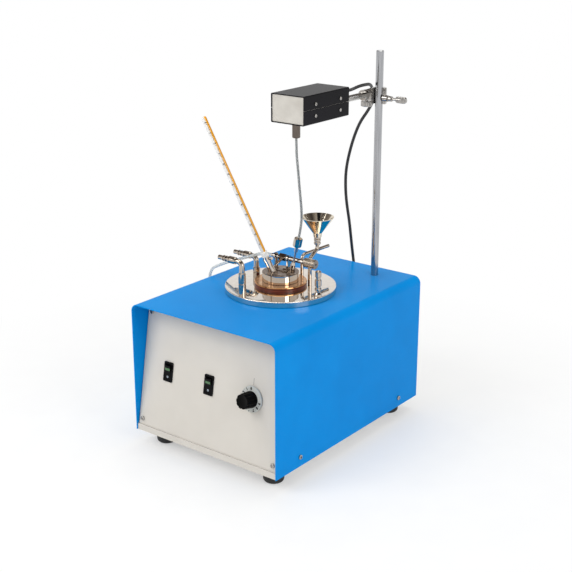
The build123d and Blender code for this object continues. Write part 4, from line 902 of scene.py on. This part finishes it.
def set_floor():
    """Sheet of backdrop paper under the instrument."""
    sheet = bmesh.new()
    bmesh.ops.create_grid(sheet, x_segments=2, y_segments=2, size=6.0)
    piece("backdrop_floor", sheet, matte_backdrop_paper(), None)


# ---- cords ------------------------------------------------------------------------------------
def add_motor_cable(material):
    """Cable in three stretches: stirrer head to boss, boss to rod, rod to the rear gland."""
    # piece, route, node, a body at each end, and the route's point where the second takes over
    stretches = (
        ("motor_cable_a", cable_upper_points, "motor_cable_upper", "head", "boss", -1),
        ("motor_cable_b", cable_middle_points, "motor_cable_middle", "boss", "rod", -1),
        ("motor_cable_c", cable_lower_points, "motor_cable_lower", "rod", "base", 5),
    )
    for name, points, node, body_a, body_b, last in stretches:
        cable, line = cord_tube(name, points, cable_radius, material)
        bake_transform(cable)
        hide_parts(node)


def add_gas_tube(material):
    """Limp tube from the test jet, over the housing's edge and down to its coil."""
    # piece, route, node, a body at each end, and the route's point where the second takes over
    stretches = (
        ("gas_tube_a", gas_inner_points, "gas_tube_inner", "lid", "cup", -1),
        ("gas_tube_b", gas_outer_points, "gas_tube_outer", "cup", "base", 5),
    )
    for name, points, node, body_a, body_b, last in stretches:
        tube, line = cord_tube(name, points, gas_tube_radius, material)
        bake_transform(tube)
        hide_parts(node)

    points = [gas_outer_points[-1], gas_coil_lead]
    turns = len(gas_coil_radii)
    count = turns * gas_coil_points_per_turn
    for k in range(count + 1):
        turn = min(k // gas_coil_points_per_turn, turns - 1)
        part = k / gas_coil_points_per_turn - turn
        step = max(0.0, (part - gas_coil_step_from) / (1 - gas_coil_step_from))
        step = step * step * (3 - 2 * step)
        after = min(turn + 1, turns - 1)
        radius = gas_coil_radii[turn] * (1 - step) + gas_coil_radii[after] * step
        level = gas_coil_levels[turn] * (1 - step) + gas_coil_levels[after] * step
        angle = 2 * math.pi * k / gas_coil_points_per_turn
        x = gas_coil_centre[0] + radius * math.cos(angle)
        y = gas_coil_centre[1] + radius * math.sin(angle)
        points.append((x, y, level))
    coil = route_curve("gas_tube_c", points, gas_tube_radius, resolution=6)
    coil.data.materials.append(material)
    length = line_length(route_line(points))
    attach(coil, "base")
    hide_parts("gas_tube_coil")


def add_flex_shaft(wire_material):
    """Close-wound drive shaft: a round wire coiled along the shaft's line, over its core."""
    line = route_line(flex_points)
    core = baked(route_curve("core", flex_points, flex_radius - winding_depth), "core")
    whole = bmesh.new()
    whole.from_mesh(core)
    bpy.data.meshes.remove(core)
    # helix round the line, carried by a frame that turns with it
    helix = []
    travelled = 0.0
    side = Vector((1, 0, 0))
    steps_per_turn = 12
    spacing = winding_pitch / steps_per_turn
    left = 0.0
    for a, b in zip(line, line[1:]):
        run = b - a
        heading = run.normalized()
        side = (side - heading * side.dot(heading)).normalized()
        other = heading.cross(side)
        s = left
        while s < run.length:
            angle = 2 * math.pi * (travelled + s) / winding_pitch
            arm = side * math.cos(angle) + other * math.sin(angle)
            helix.append(a + heading * s + arm * (flex_radius - winding_radius))
            s += spacing
        left = s - run.length
        travelled += run.length
    data = bpy.data.curves.new("winding", "CURVE")
    data.dimensions = "3D"
    spline = data.splines.new("POLY")
    spline.points.add(len(helix) - 1)
    for point, spot in zip(spline.points, helix):
        point.co = (*spot, 1.0)
    data.bevel_depth = winding_radius
    data.bevel_resolution = 1
    winding = bpy.data.objects.new("winding", data)
    bpy.context.scene.collection.objects.link(winding)
    wire = baked(winding, "winding")
    whole.from_mesh(wire)
    bpy.data.meshes.remove(wire)
    shaft = piece("flex_drive_shaft", whole, wire_material, "head", smooth=70)
    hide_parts("flex_shaft")
    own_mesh(shaft)


# ---- controls on the panel --------------------------------------------------------------------
def add_regulator(grip_material, dial_material, ink):
    """Fluted knob over a numbered dial, and the panel's index line."""
    place = panel_frame(regulator_x, control_height, 0.0)
    lip = 0.5 * MM
    profile = [
        (0.0, dial_back),
        (dial_radius - lip, dial_back),
        (dial_radius, dial_back + lip),
        (dial_radius, dial_back + 2 * lip),
        (dial_edge_radius, dial_face - 0.15 * MM),
        (dial_edge_radius - lip, dial_face),
        (0.0, dial_face),
    ]
    disc = turned_profile(profile, 96)
    dial = piece("regulator_dial", disc, dial_material, "regulator", 25, place)

    points_per_flute = 12
    bm = bmesh.new()
    bmesh.ops.create_circle(
        bm, cap_ends=True, segments=flute_count * points_per_flute, radius=grip_radius
    )
    # height, share of the grip's radius, share of the flutes' depth
    rings = (
        (dial_face - 0.2 * MM, 1.02, 0.0),
        (dial_face + 1.6 * MM, 1.02, 0.0),
        (dial_face + 2.2 * MM, 1.0, 1.0),
        (grip_top - 1.4 * MM, grip_top_radius / grip_radius, 1.0),
        (grip_top - 0.5 * MM, 0.9, 0.7),
        (grip_top, 0.84, 0.3),
        (grip_top, 0.78, 0.0),
        (grip_top - 0.4 * MM, 0.74, 0.0),
    )
    face = bm.faces[:][0]
    for k, (level, scale, depth) in enumerate(rings):
        if k:
            face = bmesh.ops.extrude_discrete_faces(bm, faces=[face])["faces"][0]
        for loop in face.loops:
            co = loop.vert.co
            angle = math.atan2(co.y, co.x)
            wave = 0.5 + 0.5 * math.cos(flute_count * angle)
            radius = grip_radius * scale - depth * flute_depth * (1 - wave) ** 3
            co.xy = radius * math.cos(angle), radius * math.sin(angle)
            co.z = level
    bmesh.ops.recalc_face_normals(bm, faces=bm.faces)
    grip = piece("regulator_grip", bm, grip_material, "regulator", 50, place)
    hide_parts("regulator_knob")

    figures = []
    for number in range(10):
        text = flat_text(str(number), figure_size, 0.04 * MM, figure_boldness)
        spot = Matrix.Rotation(first_figure + figure_step * number, 4, "Z")
        text.transform(spot @ Matrix.Translation((0, figure_radius, dial_face + 0.03 * MM)))
        figures.append(text)
        if number < 9:
            tick = slab(0.35 * MM, 1.6 * MM, print_thickness, 0.05 * MM)
            spot = Matrix.Rotation(first_figure + figure_step * (number + 0.5), 4, "Z")
            tick.transform(spot @ Matrix.Translation((0, figure_radius + 0.8 * MM, dial_face)))
            figures.append(tick)
    figures_piece = piece("regulator_figures", join_meshes(figures), ink, "regulator", 30, place)

    line = slab(0.45 * MM, 10.0 * MM, print_thickness, 0.1 * MM)
    spot = panel_frame(regulator_x, control_height + index_height, 0.0)
    index = piece("regulator_index_line", line, ink, "base", 30, spot)


def add_rocker_marks(lens_material, white_ink):
    """Green lens across each rocker's raised upper half, and a white ring on its lower half."""
    slope = math.atan2(rocker_rise, rocker_half)
    switches = (
        (main_switch_x, "main_switch", "main_rocker"),
        (stirrer_switch_x, "stirrer_switch", "stirrer_rocker"),
    )
    for x, body, word in switches:
        pivot = panel_frame(x, control_height, -rocker_pivot_depth)
        pivot = pivot @ Matrix.Rotation(rocker_tilt, 4, "X")
        bar = slab(lens_width, lens_height, lens_thickness, 0.7 * MM)
        level = rocker_waist + lens_middle * math.tan(slope) - lens_thickness / 2
        spot = pivot @ Matrix.Translation((0, lens_middle, level))
        spot = spot @ Matrix.Rotation(slope, 4, "X")
        lens = piece(word + "_lens", bar, lens_material, body, 30, spot)
        inner, outer = ring_radii
        outline = [
            (inner, 0.0),
            (outer, 0.0),
            (outer, ring_thickness),
            (inner, ring_thickness),
            (inner, 0.0),
        ]
        level = rocker_waist - ring_middle * math.tan(slope)
        spot = pivot @ Matrix.Translation((0, ring_middle, level))
        spot = spot @ Matrix.Rotation(-slope, 4, "X")
        mark = piece(word + "_ring", turned_profile(outline, 32), white_ink, body, 30, spot)


# ---- thermometer ------------------------------------------------------------------------------
def thermometer_frame():
    """Origin where the stem enters the lid, Z up the stem, Y to the side that is read."""
    across = math.sin(thermometer_lean)
    axis = (
        thermometer_heading[0] * across,
        thermometer_heading[1] * across,
        math.cos(thermometer_lean),
    )
    return axis_frame(thermometer_entry, axis, reading_heading)


def add_thermometer_scale(ink, thread_material):
    """Graduations, figures and the dark thread up the stem."""
    place = thermometer_frame()
    radius = thermometer_radius + ink_stand_off
    marks = []
    count = int((scale_end - scale_start) / scale_step)
    for k in range(count + 1):
        # every tenth line is the longest; the three above it leave room for its figure
        if k % 10 in (1, 2, 3):
            continue
        height = scale_start + scale_step * k
        width = 2.6 if k % 10 == 0 else (1.8 if k % 5 == 0 else 1.1)
        thickness = 0.36 if k % 5 == 0 else 0.2
        tick = bmesh.new()
        bmesh.ops.create_grid(tick, x_segments=8, y_segments=1, size=0.5)
        bmesh.ops.scale(tick, vec=(width * MM, thickness * MM, 1.0), verts=tick.verts)
        shift = ((scale_edge - width / 2) * MM, height * MM, 0)
        bmesh.ops.translate(tick, vec=shift, verts=tick.verts)
        marks.append(tick)
        if k % 10 == 0:
            words = str(k)
            figure = flat_text(words, (3.8 if len(words) < 3 else 3.0) * MM, 0.0, 0.03)
            bmesh.ops.subdivide_edges(figure, edges=figure.edges, cuts=1)
            shift = (scale_figure_across * MM, (height + scale_figure_up) * MM, 0)
            bmesh.ops.translate(figure, vec=shift, verts=figure.verts)
            marks.append(figure)
    whole = join_meshes(marks)
    # the flat marks are wrapped round the stem, whose X points to the reader's left
    for v in whole.verts:
        angle = -(v.co.x + scale_offset) / radius
        v.co = Vector((radius * math.sin(angle), radius * math.cos(angle), v.co.y))
    scale = piece("thermometer_graduations", whole, ink, "thermometer", 30, place)

    thread = bmesh.new()
    bmesh.ops.create_cone(
        thread,
        cap_ends=True,
        segments=12,
        radius1=thread_radius,
        radius2=thread_radius,
        depth=thread_end - thread_start,
    )
    middle = (thread_start + thread_end) / 2
    offset = Matrix.Translation((thread_across, thermometer_radius - thread_sunk, middle))
    line = piece("thermometer_thread", thread, thread_material, "thermometer", 60, place @ offset)


# ---- back of the housing ----------------------------------------------------------------------
def add_inlet_blades(material):
    """Three plated blades in the mains inlet."""
    blades = []
    for across, up in inlet_blades:
        blade = slab(2.3 * MM, 4.3 * MM, 12.0 * MM, 0.5 * MM)
        spot = Matrix.Translation(inlet_place + Vector((across, 0.0, up)) * MM)
        blade.transform(spot @ Matrix.Rotation(math.radians(-90), 4, "X"))
        blades.append(blade)
    whole = join_meshes(blades)
    blades_piece = piece("mains_inlet_blades", whole, material, "base", 30)


# ---- making -----------------------------------------------------------------------------------
blue_coat = powder_coated_steel("blue_powder_coat", "008ADB", "0086D6", "018FE0", 0.28, 1.3, 0.045)
grey_coat = powder_coated_steel("light_grey_powder_coat", "D3CEC6", "D0CBC3", "D6D1C9", 0.46, 1.0, 0.3)
black_coat = powder_coated_steel("black_powder_coat", "0B0A10", "08070C", "100E16", 0.34, 0.9, 0.1)
chrome = plated_brass("chrome_plated_brass", "D9D0C6", "E3DCD3", 0.035, 0.075)
spun_nickel = plated_brass("spun_nickel_plated_brass", "DACFBB", "E8DFCE", 0.08, 0.15)
nickel = plated_brass("nickel_plated_brass", "AFA397", "C6BBAF", 0.05, 0.11)
blasted_nickel = plated_brass("blasted_nickel_plate", "8F8579", "A69B8E", 0.3, 0.4)
# chrome with a painted dark reflection on its upward faces
painted_reflection_chrome = used_chrome_plate()
rod_steel = brushed_stainless("drawn_stainless_bar", (1.0, 1.0, 0.03), "999A9D", "BCBDC0", 0.13)
arm_steel = brushed_stainless("drawn_stainless_arm", (1.0, 0.03, 1.0), "A9A7A4", "CBC9C5", 0.13)
dark_steel = brushed_stainless("oiled_turned_steel", (1.0, 1.0, 0.1), "5A524C", "7A7068", 0.3)
sheet_steel = brushed_stainless("rolled_stainless_sheet", (1.0, 0.05, 1.0), "9E9C98", "BDBBB6", 0.32)
wire_steel = brushed_stainless("spring_stainless_wire", (1.0, 1.0, 1.0), "8F9292", "C3C5C4", 0.3)
zinc = zinc_plated_steel()
aluminium = satin_aluminium()
black_plastic = moulded_plastic("moulded_black_abs", "050506", "0A0A0C", 0.4, 0.8, 0.08)
knob_plastic = moulded_plastic("moulded_black_phenolic", "030303", "060606", 0.36, 1.2, 0.06)
dial_plastic = moulded_plastic("printed_grey_dial", "BCBFBA", "CBCCC7", 0.38, 1.5, 0.3)
rubber = moulded_neoprene()
laminate = phenolic_laminate()
gunmetal = polished_gunmetal()
ptfe = turned_ptfe()
stem_glass = enamel_backed_glass(thermometer_frame())
black_ink = printed_ink("black_stoving_ink", "1A1A1A")
white_ink = printed_ink("white_stoving_ink", "A9B4BE")
lens = polycarbonate_lens()
sheath = extruded_sheath()
silicone = platinum_silicone()
board = circuit_board()

finishes = {
    blue_coat: ("cover",),
    grey_coat: ("base_tray", "front_panel", "rear_panel"),
    black_coat: ("head_case_upper", "head_case_lower"),
    chrome: ("bath_plate",),
    nickel: (
        "coolant_pipes",
        "hose_tails",
        "vent_post",
        "filler_pipe",
        "overflow_pipe",
        "coupling_nut",
    ),
    spun_nickel: ("funnel",),
    blasted_nickel: ("gas_valve_knob",),
    painted_reflection_chrome: (
        "cup_lid",
        "trunnion_posts",
        "thermometer_socket",
        "stirrer_bush",
        "test_jet",
        "shutter",
    ),
    rod_steel: ("stand_rod", "rod_socket", "stirrer_spindle", "motor_rotor"),
    arm_steel: ("support_arm",),
    dark_steel: ("stirrer_motor",),
    sheet_steel: ("bath_vessel", "air_chamber", "band_heater"),
    wire_steel: ("flex_shaft",),
    zinc: (
        "foot_screws",
        "housing_screws",
        "boss_head",
        "rod_clamp_screw",
        "arm_clamp_screw",
        "head_case_screws",
    ),
    aluminium: ("head_inner_frame", "regulator_pot"),
    black_plastic: (
        "main_switch_body",
        "stirrer_switch_body",
        "main_switch_rocker",
        "stirrer_switch_rocker",
        "mains_inlet",
        "rear_gland",
        "head_gland",
    ),
    knob_plastic: ("regulator_knob",),
    rubber: ("rubber_feet",),
    laminate: ("insulating_ring",),
    gunmetal: ("oil_cup",),
    ptfe: ("thermometer_collar",),
    stem_glass: ("thermometer",),
    sheath: ("motor_cable_upper", "motor_cable_middle", "motor_cable_lower"),
    silicone: ("gas_tube_inner", "gas_tube_outer", "gas_tube_coil"),
    board: ("control_board",),
}
for material, names in finishes.items():
    for name in names:
        slots = nodes[name].data.materials
        slots.clear()
        slots.append(material)

set_camera()
set_surround()
set_lamps()
set_floor()
bpy.context.scene.view_settings.view_transform = "Standard"
add_motor_cable(sheath)
add_gas_tube(silicone)
add_flex_shaft(wire_steel)
add_regulator(knob_plastic, dial_plastic, black_ink)
add_rocker_marks(lens, white_ink)
add_thermometer_scale(black_ink, black_ink)
add_inlet_blades(zinc)
